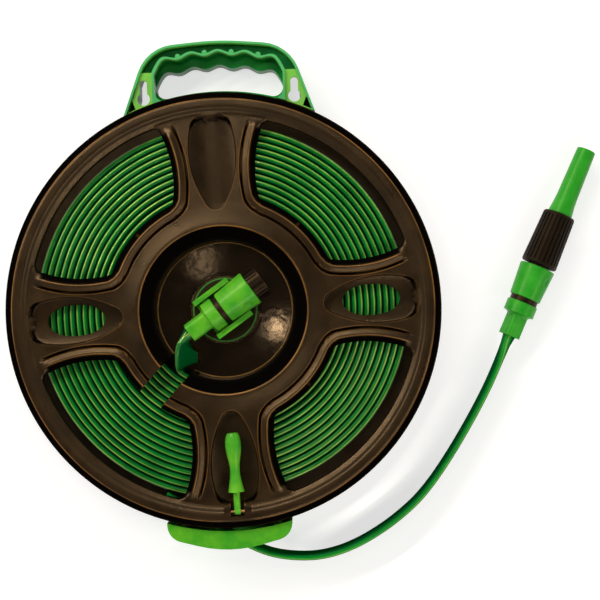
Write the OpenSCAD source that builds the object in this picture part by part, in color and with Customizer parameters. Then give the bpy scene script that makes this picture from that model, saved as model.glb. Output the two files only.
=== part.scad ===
// Flat garden hose reel, lying on its back. The origin is the axle's centre on the back plane.
// +Z runs along the axle to the front, +Y points to the carrying handle.

/* [Reel] */
// Outside diameter of both flanges
flange_d = 400; // [390:1:408]
// Wall of the flanges
flange_wall = 2.5; // [2:0.1:3]
// Thickness of the flat rear flange
rear_t = 3; // [2.4:0.1:4]
// Height of the front flange from its inner face to the face of its spokes
front_depth = 9.5; // [8.5:0.1:14]
// Outside diameter of the drum core
core_d = 135; // [133:1:138]
// Turn of the reel against the frame at rest, counter-clockwise
reel_turn = 2.5; // [-6:0.5:6]
// Running gap between the reel and the fixed frame
reel_gap = 2; // [1.5:0.1:4]

/* [Front flange] */
// Width of the flat lip outside the rim bead
rim_lip = 6; // [4:0.5:8]
// Width of the raised bead along the rim
bead_w = 13; // [10:0.5:15]
// Height of the bead above the spokes
bead_h = 4.8; // [3.5:0.1:6]
// Depth of the skirt that turns back at the outer edge
skirt_h = 6; // [4:0.5:8]
// Inner radius of the four windows
window_in_r = 107; // [104:0.5:112]
// Width of the rim outside the four windows
window_rim = 21.5; // [21:0.5:26]
// Width of a spoke at its narrowest, between two windows
spoke_w = 75.4; // [72:0.2:80]
// Distance of that narrowest place from the axle
waist_r = 121.7; // [116:0.1:126]
// Radius of a window's bulging sides
window_side_r = 112.6; // [100:0.2:130]
// Radius of a window's corners
window_corner = 6.5; // [4:0.5:8]
// Width of the raised lip round each window
lip_w = 8; // [6:0.5:9]
// Height of that lip above the spokes
lip_h = 3; // [2:0.1:4]
// Width of the groove outside the lip
groove_w = 2.6; // [2:0.1:3]
// Depth of that groove
groove_d = 1.2; // [0.6:0.1:1.4]
// Width of the recess in each spoke at its widest
recess_w = 44.6; // [40:0.2:46]
// Distance of the recess's outer end from the flange's edge
recess_inset = 21; // [20:0.5:24]
// Distance of its widest place from the flange's edge
recess_waist_inset = 54; // [50:0.5:58]
// Radius of the two corners of its outer end
recess_corner = 12; // [9:0.5:14]
// Radius of its pointed inner end
recess_tip = 10; // [7:0.5:11]
// Radius of the recess's hollowed floor
recess_hollow_r = 58; // [50:1:80]
// Length of the oval window in two of the spokes
oval_l = 53; // [46:0.5:54]
// Width of that oval window
oval_w = 28.4; // [24:0.2:30]
// Distance of that oval window's centre from the flange's edge
oval_inset = 64; // [62:0.5:66]
// Width of the slot that the hose's inner end comes through
slot_w = 24.5; // [22:0.5:27]
// Distance from the axle at which the slot ends
slot_end_r = 51.5; // [50.5:0.5:55]
// Sideways offset of the slot from the window's centre line
slot_offset = 2.9; // [1:0.1:4]
// Radius of the raised ring round the hub well, at its outer foot
ring_foot_r = 89; // [87:0.5:91]
// Radius of that ring's crest, where the well begins
ring_crest_r = 83; // [80:0.5:85]
// Height of that ring above the spokes
ring_h = 4; // [3:0.1:5]

/* [Hub] */
// Diameter of the glossy disc at the bottom of the hub well
disc_d = 127; // [122:0.5:128]
// Thickness of that disc
disc_t = 2.6; // [2.4:0.1:3.2]
// Height of the disc's face above the back plane
disc_z = 29; // [28.5:0.1:32]
// Outside diameter of the axle tube that the reel turns on
axle_d = 60; // [56:0.5:61]
// Wall of the axle tube
axle_wall = 3; // [2.6:0.1:4]
// Diameter of the axle tube's base
axle_base_d = 78; // [74:0.5:80]
// Running clearance between the axle tube and the reel, on the radius
running_gap = 0.08; // [0.04:0.01:0.1]
// Thickness of the ring that keeps the reel on its axle
keeper_t = 1.2; // [1:0.1:1.4]
// Width of that ring
keeper_w = 3.2; // [2.8:0.1:3.6]
// Number of screws that hold the reel together
reel_screws = 6; // [4:1:8]
// Diameter of the screws
screw_d = 3.9; // [3:0.1:4.2]
// Diameter of the screws' heads
screw_head_d = 7.4; // [6:0.1:7.6]
// Height of the screws' heads
screw_head_h = 1.6; // [1.2:0.1:2]

/* [Frame] */
// Depth of the frame's back strap
strap_depth = 12; // [10:0.5:14]
// Width of the back strap
strap_w = 84; // [70:1:96]
// Wall of the frame
frame_wall = 4; // [3:0.1:4.5]
// Depth of the carrying handle
handle_depth = 36; // [32:0.5:44]
// Height of the handle's outer edge above the flange's edge
handle_rise = 51.7; // [49:0.1:58]
// Half the width of the handle at its foot
handle_half_w = 89.5; // [87:0.5:92]
// Half the width of the finger opening
opening_half_w = 60; // [56:0.5:62]
// Height of the finger opening's middle arch above the flange's edge
opening_rise = 41; // [38:0.5:44]
// Distance of the finger opening's lower edge from the flange's edge
opening_gap = 7; // [6:0.5:9]
// Width of one finger hollow in the grip
finger_w = 25; // [22:0.5:28]
// Depth of one finger hollow
finger_d = 3.6; // [2:0.1:4.5]
// How far the grip slopes down to its back edge
grip_slope = 9; // [6:0.5:11]
// Width of the rim round the grip's channel
grip_rim = 2; // [1.6:0.1:2.6]
// Depth of the channel in the grip's face
grip_channel_d = 12; // [8:0.5:16]
// Distance between the two wall screws
keyhole_spacing = 141; // [139:0.5:142]
// Diameter of a keyhole's wide part, for the screw head
keyhole_d = 11.8; // [10:0.1:12.4]
// Width of a keyhole's narrow part, for the screw
keyhole_slot_w = 7; // [6:0.1:7.6]
// Height of a keyhole from end to end
keyhole_l = 23.4; // [21:0.1:25]
// Height of the keyholes' wide parts above the flange's edge
keyhole_rise = -1.5; // [-1.5:0.5:2]
// Height of the keyhole plates' face above the back plane
keyhole_plate_z = 33; // [28:0.5:34]
// Thickness of the keyhole plates
keyhole_plate_t = 4; // [3:0.1:5]
// Half the width of the foot
foot_half_w = 58; // [54:0.5:62]
// Reach of the foot below the flange's edge
foot_drop = 24.5; // [22:0.5:28]
// Wall of the foot
foot_wall = 3; // [2.4:0.1:3.6]

/* [Crank] */
// Distance of the crank's hinge pin from the flange's edge
crank_inset = 15.4; // [14:0.2:17]
// Height of the hinge pin above the spokes' face
crank_rise = 0.6; // [0.4:0.1:1.6]
// Diameter of the crank's stem
stem_d = 6; // [5:0.1:6.4]
// Diameter of the hinge pin
pin_d = 3; // [2.6:0.1:3.4]
// Diameter of the eye on the hinge pin
eye_d = 6.4; // [5.6:0.1:7]
// Width of that eye
eye_w = 5.2; // [4:0.1:8]
// Length of the grip
grip_l = 53.4; // [46:0.2:56]
// Bare length of the stem between the hinge pin and the grip
stem_bare = 18.2; // [16:0.2:20]
// Largest diameter of the grip
grip_d = 14.5; // [13:0.1:15]
// Diameter of the grip's waist
grip_waist_d = 9; // [8.6:0.1:11]
// Width of the pocket that the crank's hinge sits in
pocket_w = 11.7; // [10.5:0.1:13]

/* [Hose] */
// Width of the flat hose
hose_w = 26; // [24:0.5:27]
// Thickness of the flat hose
hose_t = 5.2; // [4.6:0.1:5.4]
// Diameter of the hose where it is round, at a fitting
hose_round_d = 12.4; // [11.6:0.1:12.8]
// Distance from one turn to the next
turn_pitch = 5.92; // [5.88:0.01:6.4]
// Distance of the winding's outermost turn from the flange's edge
winding_inset = 28; // [28:0.5:32]
// Direction in which the hose leaves the drum core, counter-clockwise from +X
lead_angle = 232.7; // [230:0.1:235]
// Direction of the winding's outer end
tail_angle = 250; // [246:0.5:250]
// Play of the hose between the flanges, on each side
hose_play = 1.8; // [1.6:0.1:3]

/* [Fittings] */
// Length of a hose connector's nut
nut_l = 33.5; // [31:0.5:36]
// Diameter of the nut's wide end
nut_d = 29.2; // [28:0.2:30]
// Width of the nut's square neck
neck_w = 16.8; // [16.4:0.2:18.4]
// Radius of the neck's corners
neck_corner = 4; // [3:0.2:5]
// Length of the nut's round ring
nut_ring_l = 11; // [10.5:0.5:12.5]
// Length over which the neck flares out to that ring
nut_flare_l = 6; // [4:0.2:7]
// Turn of the hub connector's nut about its axis
hub_nut_turn = 9; // [0:1:45]
// Turn of the outer connector's nut about its axis
end_nut_turn = 24; // [0:1:45]
// Gap between the nut and the sliding collar
collar_gap = 5; // [4.4:0.1:6]
// Length of the sliding collar
collar_l = 31.5; // [30:0.5:34]
// Diameter of the collar's end at the nut
collar_d = 29.6; // [29.2:0.2:31]
// Diameter of the collar's front end
collar_front_d = 33.6; // [33:0.2:34]
// Travel of the collar when it releases
collar_travel = 3.8; // [3:0.1:4]
// Diameter of the spigot that a connector grips
spigot_d = 15.8; // [15:0.1:16]
// Radius of the tap thread's crests
tap_thread_r = 12.06; // [11.8:0.01:12.4]
// Depth of the tap thread
tap_thread_l = 9; // [8:0.5:10]
// Thickness of the sealing washer behind the thread
washer_t = 1.6; // [1.2:0.1:2]
// Outside diameter of the ribbed tap adapter
adapter_d = 31; // [30:0.2:32]
// Length of the tap adapter's ribbed part
adapter_l = 13; // [12.5:0.5:16]
// Length of the nozzle's ribbed sleeve
sleeve_l = 51.5; // [48:0.5:54]
// Diameter of the sleeve at its rear end
sleeve_d = 34; // [33:0.2:34.2]
// Diameter of the sleeve at its front end
sleeve_front_d = 30.4; // [29:0.2:31.4]
// Length of the spray barrel in front of the sleeve
barrel_l = 66; // [60:0.5:72]
// Diameter of the barrel where it leaves the sleeve
barrel_d = 23.2; // [22.4:0.2:24]
// Diameter of the barrel's tip
barrel_tip_d = 17.8; // [17:0.2:19]
// Number of grip ribs round a fitting
rib_count = 24; // [16:1:32]

/* [Hidden] */
$fn = 96;

// Colours as the object shows them
brown_black = [0.17, 0.12, 0.08];
gloss_black = [0.07, 0.06, 0.05];
bright_green = [0.25, 0.7, 0.2];
frame_green = [0.13, 0.62, 0.22];
hose_green = [0.02, 0.45, 0.2];
rubber_black = [0.1, 0.09, 0.08];
steel = [0.75, 0.75, 0.72];
ivory = [0.85, 0.83, 0.75];

// Small clearance between two pieces that are fitted and don't move
seat_gap = 0.05;
// Clearance between two moving pieces that aren't a running fit
free_gap = 0.3;
// Overshoot of a cut past the face that it opens
over = 1;

// Heights from the back plane up
rear_z = strap_depth + reel_gap;
drum_z = rear_z + rear_t;
winding_z = drum_z + hose_play;
hose_mid_z = winding_z + hose_w / 2;
front_z = winding_z + hose_w + hose_play;
spoke_z = front_z + front_depth;
foot_top_z = front_z + foot_wall;
flange_r = flange_d / 2;
frame_clear_r = flange_r + reel_gap + 1.5;
window_out_r = flange_r - window_rim;
oval_r = flange_r - oval_inset;
crank_r = flange_r - crank_inset;
winding_r = flange_r - winding_inset;
handle_top_y = flange_r + handle_rise;
opening_top_y = flange_r + opening_rise;
opening_r = flange_r + opening_gap;
keyhole_y = flange_r + keyhole_rise;
foot_y = flange_r + foot_drop;

function unit(v) = v / norm(v);
function polar(r, a) = [r * cos(a), r * sin(a)];
function arc(centre, r, from, to, steps) =
    [for (i = [0 : steps]) centre + polar(r, from + (to - from) * i / steps)];
function reversed(list) = [for (i = [len(list) - 1 : -1 : 0]) list[i]];
function mix(a, b, t) = a + (b - a) * t;
function clamp(x, low, high) = max(low, min(high, x));
function smooth(t) = t * t * (3 - 2 * t);
function sign_of(x) = x < 0 ? -1 : 1;
function angle_of(v) = atan2(v.y, v.x);
function short_turn(a) = a - 360 * round(a / 360);

// Outline whose corners [x, y, r] are rounded with their own radii
function corner(a, b, c, r, steps = 6) =
    let (u = unit(a - b), v = unit(c - b), half = acos(u * v) / 2,
         centre = b + unit(u + v) * r / sin(half), reach = r / tan(half),
         from = angle_of(b + u * reach - centre), to = angle_of(b + v * reach - centre))
    arc(centre, r, from, from + short_turn(to - from), steps);
function rounded(list) =
    [for (i = [0 : len(list) - 1])
        let (n = len(list), p = list[i], before = list[(i + n - 1) % n], after = list[(i + 1) % n],
             b = [p.x, p.y])
        each (p.z == 0 ? [b] : corner([before.x, before.y], b, [after.x, after.y], p.z))];

// Point where two circles meet, on the left of the line from the first to the second centre
function circles_meet(c1, r1, c2, r2) =
    let (d = norm(c2 - c1), along = (d * d + r1 * r1 - r2 * r2) / (2 * d),
         across = sqrt(max(0, r1 * r1 - along * along)), u = (c2 - c1) / d)
    c1 + u * along + [-u.y, u.x] * across;

// One window between two spokes, grown by e, for the quarter between +X and +Y. Its corners grow less, so
// that the lip stays pointed there.
corner_growth = 0.3;
function window_outline(e = 0) =
    let (o = [0, 0], ri = window_in_r - e, ro = window_out_r + e,
         side_r = window_side_r + e, c = window_corner + corner_growth * e,
         side = [spoke_w / 2 + window_side_r, waist_r],
         a = circles_meet(o, ro - c, side, side_r - c),
         b = circles_meet(o, ri + c, side, side_r - c),
         a_side = angle_of(a - side), b_side = angle_of(b - side) + 360,
         half = concat(arc(o, ro, 45, angle_of(a), 4), arc(a, c, angle_of(a), a_side, 3),
                       arc(side, side_r, a_side, b_side, 6),
                       arc(b, c, b_side, angle_of(b) + 180, 3),
                       arc(o, ri, angle_of(b), 45, 3)))
    concat(half, [for (i = [len(half) - 2 : -1 : 1]) [half[i].y, half[i].x]]);

// Boat-shaped recess of a spoke that points to +Y, grown by e: its tip is by the hub ring's foot
recess_out_y = flange_r - recess_inset;
recess_waist_y = flange_r - recess_waist_inset;
recess_tip_y = ring_foot_r + 3 + recess_tip;
recess_side_r = (pow(recess_w / 2, 2) + pow(recess_waist_y - recess_tip_y, 2) - recess_tip * recess_tip)
                / (recess_w - 2 * recess_tip);
recess_side_x = recess_side_r - recess_w / 2;
recess_corner_x = sqrt(pow(recess_side_r - recess_corner, 2)
                       - pow(recess_out_y - recess_corner - recess_waist_y, 2)) - recess_side_x;
function recess_outline(e = 0) =
    let (side = [-recess_side_x, recess_waist_y], tip = [0, recess_tip_y],
         corner = [recess_corner_x, recess_out_y - recess_corner],
         a = angle_of(tip - side), b = angle_of(corner - side),
         half = concat(arc(tip, recess_tip + e, -90, a, 3), arc(side, recess_side_r + e, a, b, 10),
                       arc(corner, recess_corner + e, b, 90, 5)))
    concat(half, [for (i = [len(half) - 1 : -1 : 1]) [-half[i].x, half[i].y]]);

// Outer outline of the carrying handle, drawn in by e
shoulder_in = 23;
shoulder_drop = 5.7;
shoulder_r = 38;
handle_arch = 250;
function handle_half(e) =
    [[handle_half_w - e, flange_r - 18, 0],
     [handle_half_w - shoulder_in - e, handle_top_y - shoulder_drop - e, shoulder_r - e]];
function handle_outline(e = 0) =
    rounded(concat(handle_half(e), [[0, handle_top_y - e, handle_arch]],
                   [for (p = reversed(handle_half(e))) [-p.x, p.y, p.z]]));

// Height of the grip's scalloped lower edge: an arch with finger hollows, whose ends curve down
grip_arch = 0.0024;
grip_end_curve = 0.08;
function grip_edge_y(x) =
    opening_top_y - grip_arch * x * x - finger_d * pow(sin(180 * x / finger_w), 2)
    - grip_end_curve * pow(max(0, abs(x) - opening_half_w + 10), 2);
// The finger opening, grown by e, with its scallops lower by drop, down to low_r from the axle
opening_corner = 9;
function opening_outline(e = 0, drop = 0, low_r = opening_r) =
    let (w = opening_half_w + e, steps = 48, r = low_r - e, c = opening_corner,
         y = sqrt(pow(r + c, 2) - pow(w - c, 2)), a = 180 + atan2(y, w - c), low = a - 180)
    concat([for (i = [0 : steps]) let (x = mix(w, -w, i / steps), edge_x = x * opening_half_w / w)
               [x, grip_edge_y(edge_x) - drop + e]],
           arc([c - w, y], c, 180, 540 - a, 6), arc([0, 0], r, 180 - low, low, 12),
           arc([w - c, y], c, a, 360, 6));

// Outline of the foot, drawn in by e
foot_corner = 16;
foot_belly = 115;
function foot_half(e) =
    [[foot_half_w - e, 10 - flange_r, 0], [foot_half_w - 1 - e, 15 - foot_y + e, foot_corner - e]];
function foot_outline(e = 0) =
    rounded(concat(foot_half(e), [[0, e - foot_y, foot_belly]],
                   [for (p = reversed(foot_half(e))) [-p.x, p.y, p.z]]));

// Cross-section of the hose at angle a, flat at roundness 0 and round at 1
function hose_x(a, k) =
    mix(hose_t, hose_round_d, k) / 2 * sign_of(cos(a)) * pow(abs(cos(a)), mix(0.25, 1, k));
function hose_z(a, k) =
    mix(hose_w, hose_round_d, k) / 2 * sign_of(sin(a)) * pow(abs(sin(a)), mix(0.32, 1, k));
function hose_ring(centre, along, k, sides) =
    let (side = unit(cross([0, 0, 1], along)), up = unit(mix([0, 0, 1], cross(along, side), k)))
    [for (j = [0 : sides - 1]) let (a = (j + 0.5) * 360 / sides)
        centre + side * hose_x(a, k) + up * hose_z(a, k)];
function route_dir(route, i) = unit(route[min(i + 1, len(route) - 1)] - route[max(i - 1, 0)]);

// The winding: flat hose on edge, one spiral from the drum core outward
winding_in_r = core_d / 2 + hose_t / 2 + 0.8;
turns = floor((winding_r - winding_in_r) / turn_pitch - (tail_angle - lead_angle) / 360)
        + (tail_angle - lead_angle) / 360;
rings_per_turn = 24;
winding_rings = ceil(turns * rings_per_turn);
function winding_angle(i) = lead_angle + 360 * turns * i / winding_rings;
function winding_radius(i) = winding_in_r + turn_pitch * turns * i / winding_rings;
function winding_at(i, r_shift = 0) =
    let (p = polar(winding_radius(i) + r_shift, winding_angle(i))) [p.x, p.y, hose_mid_z];
function winding_dir(i) = [-sin(winding_angle(i)), cos(winding_angle(i)), 0];
hose_half = hose_t / 2;
function turn_gap(i) =
    norm(winding_at(i, hose_half) - winding_at(i + winding_rings / turns, -hose_half));
function chord_gap(i) =
    norm((winding_at(i, hose_half) + winding_at(i + 1, hose_half)) / 2
         - (winding_at(i + winding_rings / turns, -hose_half)
            + winding_at(i + 1 + winding_rings / turns, -hose_half)) / 2);
least_turn_gap =
    min([for (i = [0 : winding_rings - rings_per_turn - 2]) min(turn_gap(i), chord_gap(i))]);
winding_length = sum([for (i = [0 : winding_rings - 1]) norm(winding_at(i + 1) - winding_at(i))]);
function sum(list, i = 0) = i < len(list) ? list[i] + sum(list, i + 1) : 0;
echo(str("Turns of hose: ", turns, ", wound length ", winding_length, " mm"));
echo(str("Least gap between two turns: ", least_turn_gap, " mm"));

// The connector in the hub well: where its nut begins, and its direction
fitting_angle = 32.5;
fitting_z = disc_z + 2.2 + free_gap + collar_front_d / 2;
fitting_back = 38;
clip_side = 1.9;
hub_start_xy = polar(-fitting_back, fitting_angle) + polar(clip_side, fitting_angle + 90);
hub_start = [hub_start_xy.x, hub_start_xy.y, fitting_z];
// The connector and nozzle that lie on the surface beside the reel
nozzle_angle = 65.7;
nozzle_z = max(collar_front_d, sleeve_d) / 2 + 0.1;
end_start = [267, -32, nozzle_z];

// Route of the inner end, from the hub connector's nut to the first turn, in the reel's frame
lead_start = winding_at(0) - 0.1 * winding_dir(0);
function ahead(start, angle, distance) =
    start + [distance * cos(angle), distance * sin(angle), 0];
lead_route = [ahead(hub_start, fitting_angle, 9), ahead(hub_start, fitting_angle, 1),
              [-40, -23.5, 47.6], [-44.2, -29, 45.2], [-46.4, -36, 42.8], [-47.2, -43, 39.4],
              [-47.4, -48, 36.6], [-46.8, -52, 34.2], lead_start - 3 * winding_dir(0), lead_start];
// Route of the free end, from under the rim, through the foot and over the surface to its nut
tail_route = [[-58, -169, 31.8], [-38, -183, 31.8], [-18, -197, 31.4], [2, -210.5, 30.2], [22, -222, 27.6],
              [40, -229.5, 24], [60, -233.6, 19.6], [80, -234.4, 16], [100, -231, 13.8], [120, -223.5, 13.1],
              [140, -212.5, 13.1], [158, -200, 13.1], [176, -184.5, 13.1], [192, -166, 13.1],
              [208, -143.5, 13.1], [222, -121.5, 13.1], [235, -99.5, 13.1], [247, -77, 13.6],
              [257, -55, 15.2], [263.4, -40, 16.6]];
tail_end = [ahead(end_start, nozzle_angle, 1), ahead(end_start, nozzle_angle, 9)];

// Stations along a connector, from the nut's narrow end
collar_s = nut_l + collar_gap;
fitting_l = collar_s + collar_l;
flange_end_s = collar_s + 6;
shoulder_s = collar_s + 19;
body_r = 11;
body_flange_r = nut_d / 2 - 1.4;
claw_s = fitting_l - 10;
barrel_s = fitting_l + 2.4 + sleeve_l;

// Placing helpers
module on_reel() rotate([0, 0, reel_turn]) children();
module along_axis(start, angle) translate(start) rotate([0, 0, angle]) rotate([0, 90, 0]) children();
module at_hub() on_reel() along_axis(hub_start, fitting_angle) children();
module at_end() along_axis(end_start, nozzle_angle) children();
module ring_of(n, r, turn = 0)
    for (i = [0 : n - 1]) rotate([0, 0, turn + 360 * i / n]) translate([r, 0, 0]) children();
module revolved(profile) rotate_extrude() polygon(profile);
module tube(r_out, r_in, z0, z1)
    translate([0, 0, z0]) difference() {
        cylinder(r = r_out, h = z1 - z0);
        translate([0, 0, -over]) cylinder(r = r_in, h = z1 - z0 + 2 * over);
    }
module plate(outline, z0, z1) translate([0, 0, z0]) linear_extrude(z1 - z0) polygon(outline);
module quarters() for (q = [0 : 3]) rotate([0, 0, 90 * q]) children();
module both_sides() { children(); mirror([1, 0, 0]) children(); }

// A closed tube through rings that all have as many points
module swept(rings) {
    n = len(rings[0]);
    last = (len(rings) - 1) * n;
    walls = [for (i = [0 : len(rings) - 2], j = [0 : n - 1]) let (k = (j + 1) % n)
        each [[i * n + j, (i + 1) * n + k, i * n + k], [i * n + j, (i + 1) * n + j, (i + 1) * n + k]]];
    caps = [for (j = [1 : n - 2]) each [[0, j, j + 1], [last, last + j + 1, last + j]]];
    polyhedron([for (r = rings) each r], concat(walls, caps));
}

// A screw that points up, its head's face at z = 0
module screw(length) {
    cylinder(d = screw_head_d, h = screw_head_h);
    cylinder(d = screw_d, h = length);
}
module screw_hole(depth) {
    translate([0, 0, -over]) cylinder(d = screw_head_d + 2 * seat_gap, h = over + screw_head_h + seat_gap);
    cylinder(d = screw_d + 2 * seat_gap, h = depth);
}

// Frame: back strap, handle and the pad under the foot
hub_pad_r = axle_base_d / 2 + frame_wall + 2;
axle_screw_r = (axle_base_d + axle_d) / 4 + 1.6;
foot_screw = [44, -flange_r - 4.5];
plate_low_z = keyhole_plate_z - keyhole_plate_t;
channel_y = flange_r + 23;
back_open_z = 16;

module strap_shape(inset, z0, z1) {
    translate([0, 0, z0]) linear_extrude(z1 - z0)
        square([strap_w - 2 * inset, flange_d - 2 * inset], center = true);
    translate([0, 0, z0]) cylinder(r = hub_pad_r - inset, h = z1 - z0);
}

module keyhole(z0, z1) {
    top_y = keyhole_y - keyhole_d / 2 + keyhole_l - keyhole_slot_w / 2;
    translate([keyhole_spacing / 2, 0, z0]) {
        translate([0, keyhole_y, 0]) cylinder(d = keyhole_d, h = z1 - z0);
        translate([0, top_y, 0]) cylinder(d = keyhole_slot_w, h = z1 - z0);
        translate([-keyhole_slot_w / 2, keyhole_y, 0]) cube([keyhole_slot_w, top_y - keyhole_y, z1 - z0]);
    }
}

// Hollow around each keyhole's plate, from in_r round the axle up to top_y
module side_pocket(z0, z1, in_r, top_y)
    translate([0, 0, z0]) linear_extrude(z1 - z0) intersection() {
        polygon(handle_outline(grip_rim));
        translate([opening_half_w + grip_rim, flange_r - 20])
            square([handle_half_w - opening_half_w, top_y - flange_r + 20]);
        difference() {
            square(handle_top_y);
            circle(r = in_r);
        }
    }

// Deep triangular pocket beside each keyhole, down to the frame's floor
module corner_pocket()
    translate([0, 0, frame_wall]) linear_extrude(handle_depth) intersection() {
        polygon(handle_outline(grip_rim));
        polygon([[handle_half_w - 12.5, flange_r - 14], [handle_half_w - 8.5, flange_r - 3],
                 [handle_half_w + 5, flange_r - 10], [handle_half_w + 5, flange_r - 25]]);
        difference() {
            square(handle_top_y);
            circle(r = frame_clear_r + grip_rim / 2);
        }
    }

// Small web that stiffens the grip's wall behind each ridge between two fingers
web_r = 2.4;
module grip_webs()
    for (i = [-2 : 1]) let (x = (i + 0.5) * finger_w)
        translate([x, grip_edge_y(x) + grip_rim + web_r / 2, strap_depth])
            cylinder(r = web_r, h = handle_depth - strap_depth - 0.8, $fn = 32);

module grip_channel()
    translate([0, 0, handle_depth - grip_channel_d]) linear_extrude(grip_channel_d + over) difference() {
        intersection() {
            polygon(handle_outline(grip_rim));
            translate([-handle_half_w, channel_y]) square([2 * handle_half_w, handle_rise]);
        }
        polygon(opening_outline(grip_rim));
    }

module frame() color(frame_green) difference() {
    union() {
        difference() {
            strap_shape(0, 0, strap_depth);
            strap_shape(frame_wall, frame_wall, strap_depth + over);
        }
        plate(handle_outline(), 0, handle_depth);
        plate(foot_outline(), 0, frame_wall);
    }
    translate([0, 0, strap_depth]) cylinder(r = frame_clear_r, h = handle_depth);
    plate(opening_outline(0, grip_slope), -over, back_open_z);
    plate(opening_outline(0, 0, frame_clear_r - 1.5), back_open_z, handle_depth + over);
    difference() {
        grip_channel();
        grip_webs();
    }
    both_sides() {
        side_pocket(keyhole_plate_z, handle_depth + over, flange_r, channel_y);
        corner_pocket();
        difference() {
            side_pocket(-over, plate_low_z, frame_clear_r + frame_wall / 2, channel_y - grip_rim);
            translate([handle_half_w - 14, 0, -2 * over])
                cube([shoulder_in, handle_top_y, plate_low_z + 2 * over]);
        }
        keyhole(-over, keyhole_plate_z + over);
        translate([foot_screw.x, foot_screw.y, 0]) screw_hole(frame_wall + over);
    }
    ring_of(4, axle_screw_r, 45) screw_hole(frame_wall + over);
}

// Foot: a hollow guide for the hose, open to the reel
outlet_angle = -30;
outlet_w = 15;
outlet_l = 48;
outlet_xy = [22, -flange_r - 22];
foot_screw_l = 22;
boss_r = screw_d / 2 + 2.2;
module foot_guide() color(bright_green) difference() {
    union() {
        difference() {
            plate(foot_outline(), frame_wall, foot_top_z);
            plate(foot_outline(foot_wall), frame_wall - over, foot_top_z - foot_wall);
        }
        both_sides() translate([foot_screw.x, foot_screw.y, frame_wall])
            cylinder(r = boss_r, h = foot_top_z - foot_wall - frame_wall);
    }
    translate([0, 0, frame_wall - over]) cylinder(r = frame_clear_r, h = foot_top_z);
    both_sides() translate([foot_screw.x, foot_screw.y, 0])
        cylinder(d = screw_d + 2 * seat_gap, h = foot_screw_l + 2);
    translate([outlet_xy.x, outlet_xy.y, frame_wall]) rotate([0, 0, outlet_angle])
        translate([-outlet_l / 2, -outlet_w / 2, 0]) cube([outlet_l, outlet_w, front_z - frame_wall - 1]);
}
module foot_screws() color(steel) both_sides()
    translate([foot_screw.x, foot_screw.y, 0]) screw(foot_screw_l);

// Axle: a wide tube on a base, fixed in the frame, with a ring near its top
axle_r = axle_d / 2;
bearing_top_z = disc_z - disc_t;
keeper_z = bearing_top_z + free_gap;
axle_top_z = keeper_z + keeper_t + 0.5;
keeper_in_r = axle_r - 1.2;
axle_shoulder_r = axle_r + 4.5;
module axle_tube() color(frame_green) difference() {
    union() {
        translate([0, 0, frame_wall]) cylinder(d = axle_base_d, h = 5);
        translate([0, 0, frame_wall]) cylinder(r = axle_shoulder_r, h = rear_z - free_gap - frame_wall);
        translate([0, 0, frame_wall]) cylinder(r = axle_r, h = axle_top_z - frame_wall);
    }
    translate([0, 0, frame_wall - over]) cylinder(r = axle_r - axle_wall, h = axle_top_z);
    tube(axle_r + over, keeper_in_r - seat_gap, keeper_z - seat_gap, keeper_z + keeper_t + seat_gap);
    ring_of(4, axle_screw_r, 45) translate([0, 0, frame_wall - over])
        cylinder(d = screw_d + 2 * seat_gap, h = over + 4.4);
}
module axle_screws() color(steel) ring_of(4, axle_screw_r, 45) screw(frame_wall + 4);
cap_t = 0.8;
cap_skirt_l = 7;
module axle_cap() color(brown_black) {
    cap_r = axle_r - axle_wall - seat_gap;
    translate([0, 0, axle_top_z]) cylinder(r = keeper_in_r, h = cap_t);
    tube(cap_r, cap_r - 2, axle_top_z - cap_skirt_l, axle_top_z);
}
module retaining_ring() color(steel) difference() {
    tube(keeper_in_r + keeper_w, keeper_in_r, keeper_z, keeper_z + keeper_t);
    translate([0, -2, keeper_z - over]) cube([axle_r + keeper_w, 4, keeper_t + 2 * over]);
}

// Reel body
reel_screw_r = slot_end_r - screw_d;
slot_angle = 225;
bore_r = axle_r + running_gap;
sleeve_r = bore_r + 4.4;
recess_r = keeper_in_r + keeper_w + 0.6;
rear_screws_turn = 360 / reel_screws / 2 + 15;
flange_screw_l = 8.5;
module rear_flange() color(brown_black) on_reel() difference() {
    revolved([[sleeve_r + seat_gap, rear_z], [flange_r - 3.6, rear_z], [flange_r - 3, rear_z - 1.2],
              [flange_r - 0.6, rear_z - 1.2], [flange_r, rear_z - 0.6], [flange_r, drum_z + 0.2],
              [flange_r - 0.4, drum_z + 0.6], [flange_r - 4, drum_z + 0.6], [flange_r - 5, drum_z],
              [sleeve_r + seat_gap, drum_z]]);
    ring_of(reel_screws, reel_screw_r, rear_screws_turn) translate([0, 0, rear_z]) screw_hole(rear_t + over);
}
module flange_screws() color(steel) on_reel()
    ring_of(reel_screws, reel_screw_r, rear_screws_turn) translate([0, 0, rear_z]) screw(flange_screw_l);

// Slot for the hose's inner end, through everything above z0
module hose_slot(z0, extra = 0)
    rotate([0, 0, slot_angle]) translate([slot_end_r, slot_offset - slot_w / 2, z0])
        cube([window_in_r + 3 - slot_end_r, slot_w + extra, 60]);

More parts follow.
